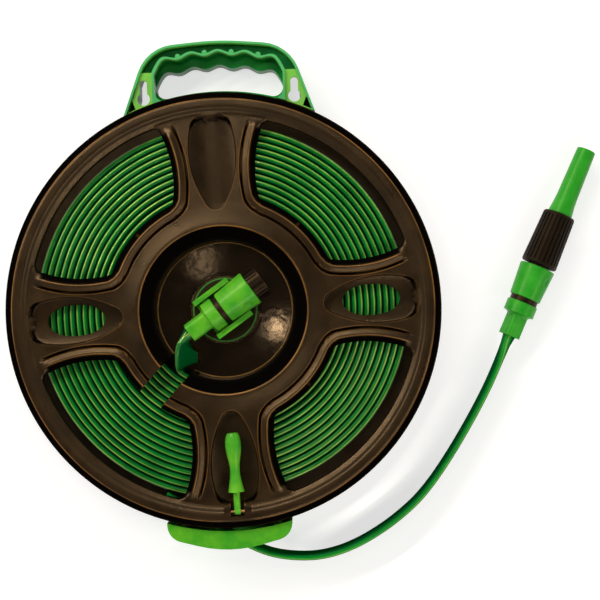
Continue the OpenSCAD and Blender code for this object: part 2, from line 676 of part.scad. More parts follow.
core_r = core_d / 2;
disc_r = disc_d / 2;
well_top_r = disc_r + 1.2;
ledge_w = 5;
module drum_core() color(brown_black) on_reel() difference() {
    revolved([[core_r, drum_z], [core_r, front_z], [well_top_r, front_z],
              [disc_r + seat_gap, disc_z], [disc_r + seat_gap, bearing_top_z],
              [disc_r - ledge_w, bearing_top_z], [disc_r - ledge_w, bearing_top_z - 2.4],
              [disc_r, bearing_top_z - 2.4], [disc_r, drum_z]]);
    hose_slot(drum_z + 0.6, 6);
}
module hub_disc() color(gloss_black) on_reel() difference() {
    union() {
        revolved([[bore_r, rear_z], [sleeve_r, rear_z], [sleeve_r, bearing_top_z], [disc_r, bearing_top_z],
                  [disc_r, disc_z - 0.5], [disc_r - 0.5, disc_z], [recess_r + 2.4, disc_z],
                  [recess_r + 1.8, disc_z + 0.5], [recess_r, disc_z + 0.5], [recess_r, bearing_top_z],
                  [bore_r, bearing_top_z]]);
        ring_of(reel_screws, reel_screw_r, rear_screws_turn) translate([0, 0, drum_z])
            cylinder(r = boss_r, h = bearing_top_z - drum_z);
    }
    hose_slot(drum_z - over);
    ring_of(reel_screws, reel_screw_r, rear_screws_turn) translate([0, 0, drum_z - over])
        cylinder(d = screw_d + 2 * seat_gap, h = over + flange_screw_l - rear_t + 0.5);
    rotate([0, 0, fitting_angle]) for (s = [-clip_screw_s, clip_screw_s])
        translate([s, clip_side, bearing_top_z - over])
            cylinder(d = screw_d + 2 * seat_gap, h = disc_t + 2 * over);
}

// Front flange: a pressed shell with bead, spokes, window lips, recesses and hub well
bead_out_r = flange_r - rim_lip;
bead_in_r = bead_out_r - bead_w;
bead_z = spoke_z + bead_h;
ring_z = spoke_z + ring_h;
lip_z = spoke_z + lip_h;
well_slope_r = ring_crest_r - 5;
crank_z = spoke_z + crank_rise;
face_in_z = spoke_z - flange_wall;
flange_skin = [
    [flange_r, spoke_z - skirt_h], [flange_r, spoke_z - 1.6], [flange_r - 1, spoke_z - 0.6],
    [bead_out_r, spoke_z], [bead_out_r - 1.2, bead_z - 2.2], [bead_out_r - 3, bead_z - 0.5],
    [bead_out_r - 5.5, bead_z], [bead_in_r + 4, bead_z - 0.8], [bead_in_r + 1.5, bead_z - 2.4],
    [bead_in_r, spoke_z], [ring_foot_r, spoke_z], [ring_foot_r - 2, spoke_z + 0.8],
    [ring_crest_r + 2, ring_z - 0.5], [ring_crest_r, ring_z], [well_slope_r + 1, ring_z],
    [well_slope_r, ring_z - 1], [well_top_r, front_z]];
flange_inside = [
    [core_r, front_z], [well_slope_r + flange_wall, ring_z - 2 - flange_wall],
    [ring_crest_r, ring_z - flange_wall], [ring_foot_r - 2, face_in_z], [bead_in_r - flange_wall, face_in_z],
    [bead_in_r + 1.5, bead_z - 2.6 - flange_wall], [bead_in_r + 4, bead_z - 1 - flange_wall],
    [bead_out_r - 5.5, bead_z - flange_wall], [bead_out_r - 3 - flange_wall, bead_z - 1 - flange_wall],
    [bead_out_r - flange_wall, face_in_z], [flange_r - flange_wall, face_in_z - 0.6],
    [flange_r - flange_wall, spoke_z - skirt_h]];

module oval(e, z0, z1)
    translate([0, 0, z0]) linear_extrude(z1 - z0) polygon([for (i = [0 : 47]) let (a = i * 7.5)
        [(oval_w / 2 + e) * cos(a), oval_r + (oval_l / 2 + e) * sign_of(sin(a)) * pow(abs(sin(a)), 0.86)]]);

module recess_hollow()
    intersection() {
        plate(recess_outline(), front_z, bead_z + over);
        translate([0, core_r, front_z + flange_wall + recess_hollow_r]) rotate([-90, 0, 0])
            cylinder(r = recess_hollow_r, h = flange_r - core_r);
    }

crank_block_w = pocket_w + 2 * 6;
crank_block_out = eye_d / 2 + 4.1;
crank_block_l = 11.4;
// Room for the folded crank: a pocket round its hinge and a trough along its stem and grip
module crank_bed() {
    pocket_z = front_z + flange_wall + 1;
    outer_y = -crank_r - eye_d / 2 - 0.8;
    translate([-pocket_w / 2, outer_y, pocket_z])
        cube([pocket_w, max(crank_r - recess_out_y, 0) + eye_d / 2 + 2.8, 30]);
    translate([0, -crank_r + stem_bare - 1, crank_z]) rotate([-90, 0, 0])
        cylinder(d = grip_d + 2 * free_gap, h = grip_l + 2);
    translate([-grip_d / 2 - free_gap, -crank_r + stem_bare - 1, crank_z])
        cube([grip_d + 2 * free_gap, grip_l + 2, 30]);
}
module front_flange() color(brown_black) on_reel() difference() {
    union() {
        revolved(concat(flange_skin, flange_inside));
        quarters() {
            plate(window_outline(lip_w), front_z, lip_z - 1);
            plate(window_outline(lip_w - 1.8), lip_z - 1, lip_z);
            plate(recess_outline(flange_wall), front_z, spoke_z);
        }
        translate([-crank_block_w / 2, -crank_r - crank_block_out, front_z])
            cube([crank_block_w, crank_block_l, bead_z - front_z - 0.6]);
    }
    quarters() {
        plate(window_outline(), front_z - over, bead_z + over);
        difference() {
            plate(window_outline(lip_w - 1.8 + 0.01), front_z - over, lip_z - flange_wall);
            plate(window_outline(flange_wall), front_z - 2 * over, bead_z);
        }
        difference() {
            plate(window_outline(lip_w + groove_w), spoke_z - groove_d, bead_z + over);
            plate(window_outline(lip_w), spoke_z - groove_d - over, bead_z + 2 * over);
            cylinder(r = ring_foot_r, h = 100);
        }
        recess_hollow();
    }
    for (a = [90, -90]) rotate([0, 0, a]) oval(0, front_z - over, bead_z);
    crank_bed();
    translate([-crank_block_w / 2 - over, -crank_r, crank_z]) rotate([0, 90, 0])
        cylinder(d = pin_d + 2 * seat_gap, h = crank_block_w + 2 * over);
    hose_slot(front_z - over);
}

// Clip that holds the inner connector in the hub well, and its two screws
clip_screw_s = 34;
clip_gap = mix(collar_d, collar_front_d, 0.75) + free_gap;
clip_bar_w = 4.7;
clip_l = 38.5;
clip_strip = [78, 15, 2.2];
cradle_s = 13;
cradle_l = 7;
clip_top_z = fitting_z + 2;
module on_clip() on_reel() rotate([0, 0, fitting_angle]) translate([0, clip_side, disc_z + 0.5]) children();
module hub_clip() color(bright_green) on_clip() difference() {
    union() {
        translate([-clip_strip.x / 2, -clip_strip.y / 2, 0])
            cube([clip_strip.x, clip_strip.y, clip_strip.z - 0.5]);
        translate([-clip_l / 2, -clip_gap / 2 - clip_bar_w, 0])
            cube([clip_l, clip_gap + 2 * clip_bar_w, clip_strip.z - 0.5]);
        for (side = [-1, 1]) {
            translate([-clip_l / 2, side * (clip_gap + clip_bar_w) / 2 - clip_bar_w / 2, 0])
                cube([clip_l, clip_bar_w, clip_top_z - disc_z - 0.5]);
            translate([-cradle_s, side * (clip_gap / 2 - 0.5) - 1, 0])
                cube([cradle_l, 2, clip_top_z - disc_z - 4]);
        }
        translate([-cradle_s, -cradle_l, 0]) cube([cradle_l, 2 * cradle_l, fitting_z - disc_z - 0.5 - 9]);
    }
    translate([-cradle_s - over, 0, fitting_z - disc_z - 0.5]) rotate([0, 90, 0])
        cylinder(d = nut_d + 2 * seat_gap, h = cradle_l + 2 * over);
    for (s = [-clip_screw_s, clip_screw_s]) translate([s, 0, 0]) {
        translate([0, 0, -over]) cylinder(d = screw_d + 2 * seat_gap, h = 4);
        translate([0, 0, clip_strip.z - 0.5 - 1.1]) cylinder(d = screw_head_d + 2 * seat_gap, h = 3);
    }
}
module clip_screws() color(steel) on_reel() rotate([0, 0, fitting_angle])
    for (s = [-clip_screw_s, clip_screw_s]) translate([s, clip_side, 0]) {
        translate([0, 0, bearing_top_z])
            cylinder(d = screw_d, h = disc_z + clip_strip.z - bearing_top_z - 0.2);
        translate([0, 0, disc_z + clip_strip.z - 1]) cylinder(d = screw_head_d, h = 0.8);
    }

// Crank, folded into the lower spoke's recess
grip_start = stem_bare;
grip_end = stem_bare + grip_l;
head_d = stem_d + 2;
grip_bore_r = stem_d / 2 + running_gap;
function grip_radius(s) =
    let (free_end = max(0, grip_l - s), waist = 33, belly = 12)
    free_end < belly ? mix(grip_waist_d / 2 + 0.4, grip_d / 2, pow(sin(90 * free_end / belly), 0.6))
    : free_end < waist ? mix(grip_d / 2, grip_waist_d / 2, smooth((free_end - belly) / (waist - belly)))
    : mix(grip_waist_d / 2, grip_d / 2 + 0.3, pow((free_end - waist) / (grip_l - waist), 1.8));
module at_crank() on_reel() translate([0, -crank_r, crank_z]) rotate([-90, 0, 0]) children();
module crank_pin() color(steel) on_reel() translate([-crank_block_w / 2, -crank_r, crank_z])
    rotate([0, 90, 0]) cylinder(d = pin_d, h = crank_block_w);
module crank_arm() color(bright_green) at_crank() difference() {
    union() {
        translate([-eye_w / 2, 0, 0]) rotate([0, 90, 0]) cylinder(d = eye_d, h = eye_w);
        cylinder(d = stem_d, h = grip_end - 0.6);
        translate([0, 0, grip_end - 2.4]) cylinder(d = head_d, h = 1.8);
    }
    translate([-pocket_w / 2, 0, 0]) rotate([0, 90, 0]) cylinder(d = pin_d + 2 * running_gap, h = pocket_w);
}
module crank_grip() color(bright_green) at_crank() translate([0, 0, grip_start]) difference() {
    revolved(concat([[grip_bore_r, grip_l], [grip_bore_r, 0]],
                    [for (i = [0 : 20]) let (s = grip_l * i / 20) [grip_radius(s), s]]));
    translate([0, 0, grip_l - 2.4 - free_gap]) cylinder(d = head_d + 2 * free_gap, h = 4);
}

// Hose
module hose_winding() color(hose_green) on_reel()
    swept([for (i = [0 : winding_rings]) hose_ring(winding_at(i), winding_dir(i), 0, 6)]);
module hose_inner_lead() color(hose_green) on_reel() {
    last = len(lead_route) - 1;
    swept([for (i = [0 : last])
        let (along = i == last ? winding_dir(0) : route_dir(lead_route, i))
        hose_ring(lead_route[i], along, clamp((4 - i) / 3, 0, 1), 12)]);
}
module hose_free_end() color(hose_green) {
    route = concat(tail_route, tail_end);
    last = len(route) - 1;
    swept([for (i = [0 : last])
        hose_ring(route[i], route_dir(route, i), clamp((i - last + 4) / 3, 0, 1), 12)]);
}

// Pieces of a hose connector, standing on z = 0 at the nut's narrow end
hose_bore_r = hose_round_d / 2 + free_gap;
thread_r = body_flange_r - 1.4;
nut_ring_s = nut_l - nut_ring_l;
thread_s = nut_ring_s + 1.2;
module neck_section() {
    square([neck_w, neck_w - 2 * neck_corner], center = true);
    square([neck_w - 2 * neck_corner, neck_w], center = true);
    ring_of(4, (neck_w / 2 - neck_corner) * sqrt(2), 45) circle(r = neck_corner);
}
module nut_piece() difference() {
    union() {
        linear_extrude(nut_ring_s) neck_section();
        revolved(concat([[0, nut_ring_s - nut_flare_l]],
                        [for (a = [0 : 18 : 90]) [mix(nut_d, neck_w, cos(a)) / 2,
                                                  nut_ring_s - nut_flare_l * (1 - sin(a))]],
                        [[nut_d / 2, nut_l - 0.6], [nut_d / 2 - 0.6, nut_l], [0, nut_l]]));
    }
    translate([0, 0, -over]) cylinder(r = hose_bore_r, h = nut_l);
    translate([0, 0, -over]) cylinder(r = hose_bore_r + 0.6, h = over + 2);
    translate([0, 0, thread_s]) cylinder(r = thread_r + seat_gap, h = nut_l);
    translate([0, 0, 12]) cylinder(r = hose_bore_r + 0.6, h = nut_l);
}
module body_piece() difference() {
    union() {
        translate([0, 0, 10]) cylinder(r = 4, h = 20);
        translate([0, 0, thread_s + 0.4]) cylinder(r = thread_r, h = nut_l - thread_s);
        translate([0, 0, nut_l + 0.1]) cylinder(r = body_flange_r, h = flange_end_s - nut_l - 0.1);
        translate([0, 0, flange_end_s - 0.1]) cylinder(r = body_r, h = fitting_l - flange_end_s - 1);
    }
    translate([0, 0, 9]) cylinder(r = 3, h = 40);
    translate([0, 0, fitting_l - 21]) cylinder(r = spigot_d / 2 + 0.1, h = 30);
    translate([0, 0, claw_s]) cylinder(r = body_r - 1.1, h = 30);
}
module claws_piece() translate([0, 0, claw_s + 0.1]) difference() {
    cylinder(r = body_r - 1.1 - seat_gap, h = 6);
    translate([0, 0, -over]) cylinder(r = spigot_d / 2 + 0.15, h = 10);
    for (a = [0, 60, 120]) rotate([0, 0, a]) translate([-20, -1, 2]) cube([40, 2, 10]);
}
spring_r = (body_r + body_flange_r) / 2;
wire_r = 0.5;
module spring_piece() {
    curls = 4;
    steps = 10;
    sides = 6;
    low = flange_end_s + 0.6;
    high = shoulder_s - 0.6;
    swept([for (i = [0 : curls * steps])
        let (a = 360 * i / steps, out = [cos(a), sin(a), 0],
             centre = spring_r * out + [0, 0, mix(low, high, i / (curls * steps))])
        [for (j = [0 : sides - 1]) let (b = -360 * j / sides)
            centre + wire_r * (out * cos(b) + [0, 0, 1] * sin(b))]]);
}
module collar_piece() difference() {
    revolved([[body_flange_r + running_gap, collar_s], [collar_d / 2 - 0.6, collar_s],
              [collar_d / 2, collar_s + 0.6], [collar_front_d / 2, fitting_l - 0.8],
              [collar_front_d / 2 - 0.8, fitting_l],
              [body_r + running_gap + 0.6, fitting_l], [body_r + running_gap, fitting_l - 1],
              [body_r + running_gap, shoulder_s], [body_flange_r + running_gap, shoulder_s]]);
    for (a = [0, 90, 180, 270]) rotate([0, 0, a + 45]) translate([collar_front_d / 2 + 7, 0, fitting_l - 12])
        sphere(r = 9);
}
// Spigot that a connector grips, from its tip to the shoulder in front of the collar
module spigot_shape(shoulder_l) difference() {
    union() {
        translate([0, 0, fitting_l - 20]) cylinder(d = spigot_d - 0.1, h = 20 + shoulder_l);
        translate([0, 0, fitting_l - 0.7]) cylinder(r = body_r - 0.2, h = 0.7 + shoulder_l);
    }
    translate([0, 0, fitting_l - 21]) cylinder(r = 5, h = 24 + shoulder_l);
    tube(spigot_d, spigot_d / 2 - 1.6, fitting_l - 16.5, fitting_l - 14);
    tube(spigot_d, spigot_d / 2 - 1.2, claw_s + 0.1, claw_s + 3.4);
}
module spigot_ring() translate([0, 0, fitting_l - 15.25]) rotate_extrude()
    translate([spigot_d / 2 - 0.9, 0]) circle(r = 0.62, $fn = 24);

module hub_nut() color(bright_green) at_hub() rotate([0, 0, hub_nut_turn]) nut_piece();
module hub_body() color(rubber_black) at_hub() body_piece();
module hub_claws() color(ivory) at_hub() claws_piece();
module hub_spring() color(steel) at_hub() spring_piece();
module hub_collar() color(bright_green) at_hub() collar_piece();
module end_nut() color(bright_green) at_end() rotate([0, 0, end_nut_turn]) nut_piece();
module end_body() color(rubber_black) at_end() body_piece();
module end_claws() color(ivory) at_end() claws_piece();
module end_spring() color(steel) at_end() spring_piece();
module end_collar() color(bright_green) at_end() collar_piece();

// Tap adapter on the hub connector: a ribbed cap with an inside thread
adapter_s = fitting_l + 0.3;
washer_s = adapter_s + adapter_l - tap_thread_l - washer_t - 0.2;
washer_r = tap_thread_r + 0.5;
module tap_adapter() color(rubber_black) at_hub() difference() {
    union() {
        spigot_shape(1);
        translate([0, 0, adapter_s]) cylinder(d = adapter_d - 2, h = adapter_l);
        for (i = [0 : rib_count - 1]) rotate([0, 0, 360 * i / rib_count])
            translate([adapter_d / 2 - 1.2, -0.9, adapter_s]) cube([1.2, 1.8, adapter_l - 1.5]);
    }
    translate([0, 0, washer_s]) cylinder(r = tap_thread_r, h = adapter_l);
    translate([0, 0, washer_s]) cylinder(r = washer_r + seat_gap, h = washer_t + 0.2);
    translate([0, 0, fitting_l - 21]) cylinder(r = 5, h = 30);
}
module tap_seal() color(rubber_black) at_hub() spigot_ring();
module tap_washer() color(rubber_black) at_hub()
    tube(washer_r, 6.5, washer_s, washer_s + washer_t);

// Nozzle: body with the pintle, ribbed sleeve and the spray barrel that screws in and out
stem_r = 7;
guide_r = 8.45;
sleeve_s = fitting_l + 2.4;
barrel_rear_s = sleeve_s + 14;
barrel_r_in = guide_r + running_gap;
pintle_s = barrel_s + barrel_l - 10;
module nozzle_body() color(rubber_black) at_end() difference() {
    union() {
        spigot_shape(1);
        translate([0, 0, fitting_l]) cylinder(r = stem_r, h = 48);
        translate([0, 0, sleeve_s + 12]) cylinder(r = guide_r, h = 16);
        translate([0, 0, fitting_l + 46]) cylinder(r = 2.2, h = pintle_s - fitting_l - 46);
        translate([0, 0, pintle_s - 1]) cylinder(r1 = 2.2, r2 = 3.6, h = 5);
    }
    translate([0, 0, fitting_l - 21]) cylinder(r = 4.4, h = 21 + 40);
    for (a = [0, 90]) rotate([0, 0, a]) translate([-12, -1.6, fitting_l + 34]) cube([24, 3.2, 6]);
}
module nozzle_oring() color(rubber_black) at_end() spigot_ring();
module barrel_seal() color(rubber_black) at_end() translate([0, 0, sleeve_s + 40.6]) rotate_extrude()
    translate([(stem_r + barrel_r_in) / 2, 0]) circle(r = (barrel_r_in - stem_r) / 2 - 0.05, $fn = 24);
module nozzle_sleeve() color(rubber_black) at_end() difference() {
    revolved([[10.8, sleeve_s], [sleeve_d / 2 - 0.9, sleeve_s], [sleeve_d / 2, sleeve_s + 1.2],
              [sleeve_front_d / 2, barrel_s - 1.2], [sleeve_front_d / 2 - 0.9, barrel_s], [10.8, barrel_s]]);
    for (i = [0 : rib_count - 1]) rotate([0, 0, 360 * i / rib_count])
        translate([sleeve_front_d / 2 - 0.9, -0.7, sleeve_s + 3])
            rotate([0, -atan((sleeve_d - sleeve_front_d) / 2 / sleeve_l), 0])
                translate([1.5, 0, 0]) cube([3, 1.4, sleeve_l - 6]);
}
mouth_r = 4.2;
barrel_wall = 2.2;
module spray_barrel() color(bright_green) at_end()
    revolved([[barrel_r_in, barrel_rear_s], [10.7, barrel_rear_s], [10.7, barrel_s + seat_gap],
              [barrel_d / 2 - 0.6, barrel_s + seat_gap], [barrel_d / 2, barrel_s + 0.8],
              [barrel_d / 2 - 1, barrel_s + 9], [barrel_d / 2 - 1.7, barrel_s + 18],
              [barrel_tip_d / 2, barrel_s + barrel_l - 0.6], [barrel_tip_d / 2 - 0.6, barrel_s + barrel_l],
              [mouth_r, barrel_s + barrel_l], [mouth_r, barrel_s + barrel_l - 6],
              [barrel_tip_d / 2 - barrel_wall, barrel_s + barrel_l - 14],
              [barrel_tip_d / 2 - barrel_wall, barrel_s + 6], [barrel_r_in, barrel_s - 2]]);

frame();
foot_guide();
foot_screws();
axle_tube();
axle_screws();
axle_cap();
retaining_ring();
rear_flange();
flange_screws();
drum_core();
hub_disc();
front_flange();
hub_clip();
clip_screws();
crank_pin();
crank_arm();
crank_grip();
hose_winding();
hose_inner_lead();
hub_nut();
hub_body();
hub_claws();
hub_spring();
hub_collar();
tap_adapter();
tap_seal();
tap_washer();
hose_free_end();
end_nut();
end_body();
end_claws();
end_spring();
end_collar();
nozzle_body();
nozzle_oring();
barrel_seal();
nozzle_sleeve();
spray_barrel();
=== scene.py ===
from math import atan2, cos, degrees, hypot, pi, radians, sin, sqrt

import bpy
import numpy as np
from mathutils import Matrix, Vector, noise
from mathutils.geometry import delaunay_2d_cdt


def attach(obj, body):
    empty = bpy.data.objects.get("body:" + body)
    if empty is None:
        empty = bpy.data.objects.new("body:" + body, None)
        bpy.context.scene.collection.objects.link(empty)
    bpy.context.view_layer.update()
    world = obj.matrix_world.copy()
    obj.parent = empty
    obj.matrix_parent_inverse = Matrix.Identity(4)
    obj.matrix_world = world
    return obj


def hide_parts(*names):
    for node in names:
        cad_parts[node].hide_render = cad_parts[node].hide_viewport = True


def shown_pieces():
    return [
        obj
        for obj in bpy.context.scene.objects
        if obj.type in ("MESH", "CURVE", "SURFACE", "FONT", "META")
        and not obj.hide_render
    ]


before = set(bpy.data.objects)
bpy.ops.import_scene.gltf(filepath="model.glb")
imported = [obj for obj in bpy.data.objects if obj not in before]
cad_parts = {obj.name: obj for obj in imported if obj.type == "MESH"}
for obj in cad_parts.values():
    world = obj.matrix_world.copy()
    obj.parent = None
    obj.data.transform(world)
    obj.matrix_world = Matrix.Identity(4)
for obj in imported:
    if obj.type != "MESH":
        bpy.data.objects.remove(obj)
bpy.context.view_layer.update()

# The shapes below are worked out in millimetres and made in metres
mm = 0.001

# Turn of the reel against the frame at rest, in degrees
reel_turn = 2.5

# Heights above the floor
front_z = 46.6
spoke_z = 56.1
bead_z = spoke_z + 4.8
hose_mid_z = 31.8

# Front flange: its wall and skirt, and its measures in the plane of the reel
flange_wall = 2.5
skirt_h = 6.0
flange_r = 199.95
window_in_r = 107.0
window_out_r = 178.5
waist_r = 121.7
spoke_w = 75.4
window_side_r = 112.6
window_corner = 6.5
corner_growth = 0.3
recess_w = 44.6
recess_out_y = 179.0
recess_waist_y = 146.0
recess_tip_y = 102.0
recess_tip = 10.0
recess_corner = 12.0
recess_hollow_r = 58.0
oval_r = 136.0
oval_l = 53.0
oval_w = 28.4
slot_angle = 225.0
slot_w = 24.5
slot_offset = 2.9
well_r = 64.7
crank_r = 184.6
eye_r = 3.2
pocket_w = 11.7
crank_block_w = pocket_w + 12
crank_block_out = eye_r + 4.1
crank_block_l = 11.4

# Hose: flat, standing on its edge
hose_w = 26.0
hose_t = 5.2
hose_round_d = 12.4
turns = 17.048
outer_lap = 0.045
winding_in_r = 70.9
turn_pitch = 5.92
lead_angle = 232.7

# The two connectors
fitting_z = 48.3
fitting_angle = 32.5
fitting_back = 38.0
clip_side = 1.9
nozzle_z = 17.1
nozzle_angle = 65.7
end_start = (267.0, -32.0)


def clamp(x, low=0.0, high=1.0):
    return np.minimum(np.maximum(x, low), high)


def ramp(x, start, end):
    t = clamp((x - start) / (end - start))
    return t * t * (3 - 2 * t)


def polar(radius, angle):
    return (radius * cos(radians(angle)), radius * sin(radians(angle)))


def turned(points, angle):
    c, s = cos(radians(angle)), sin(radians(angle))
    return [(c * x - s * y, s * x + c * y) for x, y in points]


# Camera: straight above, turned a little

camera_place = (0.0703, 0.0072, 1.206)
camera_turn = -1.6
camera_lens = 75.4
camera_data = bpy.data.cameras.new("camera")
camera_data.sensor_width = 36
camera_data.lens = camera_lens
camera = bpy.data.objects.new("camera", camera_data)
camera.location = camera_place
camera.rotation_euler = (0, 0, radians(camera_turn))
bpy.context.scene.collection.objects.link(camera)
bpy.context.scene.camera = camera


# Meshes

def new_piece(name, vertices, faces, body, smooth_below):
    """A mesh piece from points in millimetres, riding on a CAD body.

    Edges that turn more than smooth_below degrees are sharp.
    """
    mesh = bpy.data.meshes.new(name)
    mesh.from_pydata([(x * mm, y * mm, z * mm) for x, y, z in vertices], [], faces)
    mesh.validate()
    mesh.update()
    piece = bpy.data.objects.new(name, mesh)
    bpy.context.scene.collection.objects.link(piece)
    mesh.shade_smooth()
    mesh.set_sharp_from_angle(angle=radians(smooth_below))
    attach(piece, body)
    return piece


def mark(piece, edge, painted_shade):
    """Give each point of a piece its shares of painted highlight and of painted shade."""
    for name, shares in (("edge", edge), ("painted_shade", painted_shade)):
        attribute = piece.data.attributes.new(name, "FLOAT", "POINT")
        attribute.data.foreach_set("value", np.array(shares, float))


def smooth_route(points, step):
    """Points about step apart on a Catmull-Rom curve through points."""
    p = [Vector(q) for q in points]
    p = [2 * p[0] - p[1]] + p + [2 * p[-1] - p[-2]]
    route = []
    for i in range(1, len(p) - 2):
        count = max(1, round((p[i + 1] - p[i]).length / step))
        for j in range(count):
            t = j / count
            route.append(0.5 * (2 * p[i] + (p[i + 1] - p[i - 1]) * t
                                + (2 * p[i - 1] - 5 * p[i] + 4 * p[i + 1] - p[i + 2]) * t * t
                                + (3 * p[i] - p[i - 1] - 3 * p[i + 1] + p[i + 2]) * t ** 3))
    route.append(p[-2])
    return route


# Points round each fold of the hose and on each of its sides, and how hollow the sides are
cap_points = 12
side_points = 3
side_hollow = 0.35
# A hose is smooth over edges that turn less than this, in degrees
hose_smooth = 50


def hose_section(roundness):
    """Cross-section of the hose as (across, up).

    It has two rounded folds and slightly hollow sides for a roundness of 0 and is a circle for 1.
    """
    r = hose_t / 2
    straight = hose_w / 2 - r
    section = []
    for flip in (1, -1):
        for i in range(cap_points):
            a = pi * i / (cap_points - 1)
            section.append((flip * r * cos(a), flip * (straight + r * sin(a))))
        for i in range(1, side_points + 1):
            t = 1 - 2 * i / (side_points + 1)
            hollow = side_hollow * (1 - t * t)
            section.append((flip * (hollow - r), flip * straight * t))
    n = len(section)
    half = hose_round_d / 2
    ring = []
    for i, (x, z) in enumerate(section):
        a = 2 * pi * i / n
        ring.append((x + (half * cos(a) - x) * roundness, z + (half * sin(a) - z) * roundness))
    return ring


def nowhere(share):
    """No roundness or lean anywhere along a route."""
    return 0


def hose_tube(route, roundness, lean):
    """Vertices and faces of a hose along route.

    roundness and lean, in degrees, are functions of the share of the route, from 0 to 1.
    """
    vertices = []
    last = len(route) - 1
    for i, centre in enumerate(route):
        along = (route[min(i + 1, last)] - route[max(i - 1, 0)]).normalized()
        side = Vector((0, 0, 1)).cross(along).normalized()
        k = roundness(i / last)
        up = Vector((0, 0, 1)).lerp(along.cross(side), k).normalized()
        tilt = radians(lean(i / last))
        across = side * cos(tilt) + up * sin(tilt)
        above = up * cos(tilt) - side * sin(tilt)
        # A leaning hose turns about its upper edge
        middle = centre + (up - above) * (hose_w / 2)
        vertices += [middle + across * x + above * z for x, z in hose_section(k)]
    n = len(hose_section(0))
    faces = []
    for i in range(last):
        for j in range(n):
            k = (j + 1) % n
            faces.append((i * n + j, i * n + k, (i + 1) * n + k, (i + 1) * n + j))
    faces.append(tuple(range(n))[::-1])
    faces.append(tuple(range(last * n, (last + 1) * n)))
    return vertices, faces


# The point of a fold's profile that carries the painted highlight
highlight_point = 7
# Cosines of the angle over which a fold takes on painted shade, towards both sides and, less, towards the
# inner one
sides_shade = (0.76, 1)
inner_side_shade = (0.1, 0.9)
inner_shade = 0.7


def fold_light_and_shade(piece):
    """Mark a painted highlight along each fold's outer side and painted shade on the hose's sides."""
    edge, painted_shade = [], []
    for i in range(cap_points):
        inward = cos(radians(180 * i / (cap_points - 1)))
        towards_sides = ramp(abs(inward), *sides_shade)
        edge.append(float(i == highlight_point))
        painted_shade.append(max(towards_sides, inner_shade * ramp(inward, *inner_side_shade)))
    # The hose's flat sides are all painted shade
    edge += [0] * side_points
    painted_shade += [1] * side_points
    # Each ring of points goes round two folds and two sides
    halves = len(piece.data.vertices) // len(edge)
    mark(piece, edge * halves, painted_shade * halves)


def hose_piece(name, route, body, roundness=nowhere, lean=nowhere):
    """A hose along route, with its painted highlights and the painted shade on its sides."""
    vertices, faces = hose_tube(route, roundness, lean)
    piece = new_piece(name, vertices, faces, body, hose_smooth)
    fold_light_and_shade(piece)
    return piece


# Distances from a connector's mouth inwards between which the hose runs straight
straight_part = (1, 9)


def straight_run(start, angle, distances, z):
    """Points at distances from start towards angle, at height z."""
    run = []
    for distance in distances:
        ahead = polar(distance, angle)
        run.append((start[0] + ahead[0], start[1] + ahead[1], z))
    return run


# Free end of the hose: from under the flange, through the foot and over the floor to its connector

# Height of its middle where it lies on the floor
lying_z = 13.1
tail_step = 5
# Shares of its length over which it grows round
tail_rounding = (0.91, 0.985)
tail_route = [(-58, -169, hose_mid_z), (-38, -183, hose_mid_z), (-18, -197, 31.4), (2, -210.5, 30.2),
              (22, -222, 27.6), (40, -229.5, 24), (60, -233.6, 19.6), (80, -234.4, 16),
              (100, -231, 13.8), (120, -223.5, lying_z), (140, -212.5, lying_z), (158, -200, lying_z),
              (176, -184.5, lying_z), (192, -166, lying_z), (208, -143.5, lying_z),
              (222, -121.5, lying_z), (235, -99.5, lying_z), (247, -77, 13.6), (257, -55, 15.2),
              (263.4, -40, 16.6)]
tail_route += straight_run(end_start, nozzle_angle, straight_part, nozzle_z)

tail = smooth_route(tail_route, tail_step)
hose_free = hose_piece("hose_free", tail, "frame", lambda t: ramp(t, *tail_rounding))
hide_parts("hose_free_end")


# Inner end of the hose: from its connector in the hub down to the first turn

lead_step = 2
# Shares of its length over which it grows flat, leans over and stands up again, and its lean in degrees
lead_flattening = (0.12, 0.42)
lead_leaning = (0.2, 0.46)
lead_standing = (0.88, 1)
lead_lean = 44


def reel_point(x, y, z):
    """A point of the reel's frame in the frame at rest."""
    (a, b), = turned([(x, y)], reel_turn)
    return (a, b, z)


hub_back = polar(-fitting_back, fitting_angle)
hub_side = polar(clip_side, fitting_angle + 90)
hub_start = (hub_back[0] + hub_side[0], hub_back[1] + hub_side[1])
lead_route = straight_run(hub_start, fitting_angle, straight_part[::-1], fitting_z)
lead_route += [(-40, -23.5, 47.6), (-44.2, -29, 45.2), (-46.4, -36, 42.8), (-47.2, -43, 39.4),
               (-47.4, -48, 36.6), (-46.8, -52, 34.2)]
# It ends straight, along the first turn
first = Vector((*polar(winding_in_r, lead_angle), hose_mid_z))
first_dir = Vector((*polar(1, lead_angle + 90), 0))
lead_route += [tuple(first - distance * first_dir) for distance in (3, 0.1)]
lead = smooth_route([reel_point(*p) for p in lead_route], lead_step)
hose_lead = hose_piece("hose_lead", lead, "reel", lambda t: 1 - ramp(t, *lead_flattening),
                       lambda t: lead_lean * ramp(t, *lead_leaning) * (1 - ramp(t, *lead_standing)))
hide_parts("hose_inner_lead")


# Wound hose: one spiral, whose turns lie a little unevenly, as pressed by hand

rings_per_turn = 100
# Its outer end runs on a little under the spoke
shown_turns = turns + outer_lap
# How far the turns stray in or out and up or down, and how much lower they lie than the hose's ends
turn_wander = 0.22
turn_rise = 0.9
turn_sink = 0.35
# Share of a turn over which both ends come to their places
settling = 0.25
# The noise is read along a circle of this radius, and moves on with each turn
noise_r = 3.1
wander_step = 0.31
rise_step = 0.9
rise_start = 7


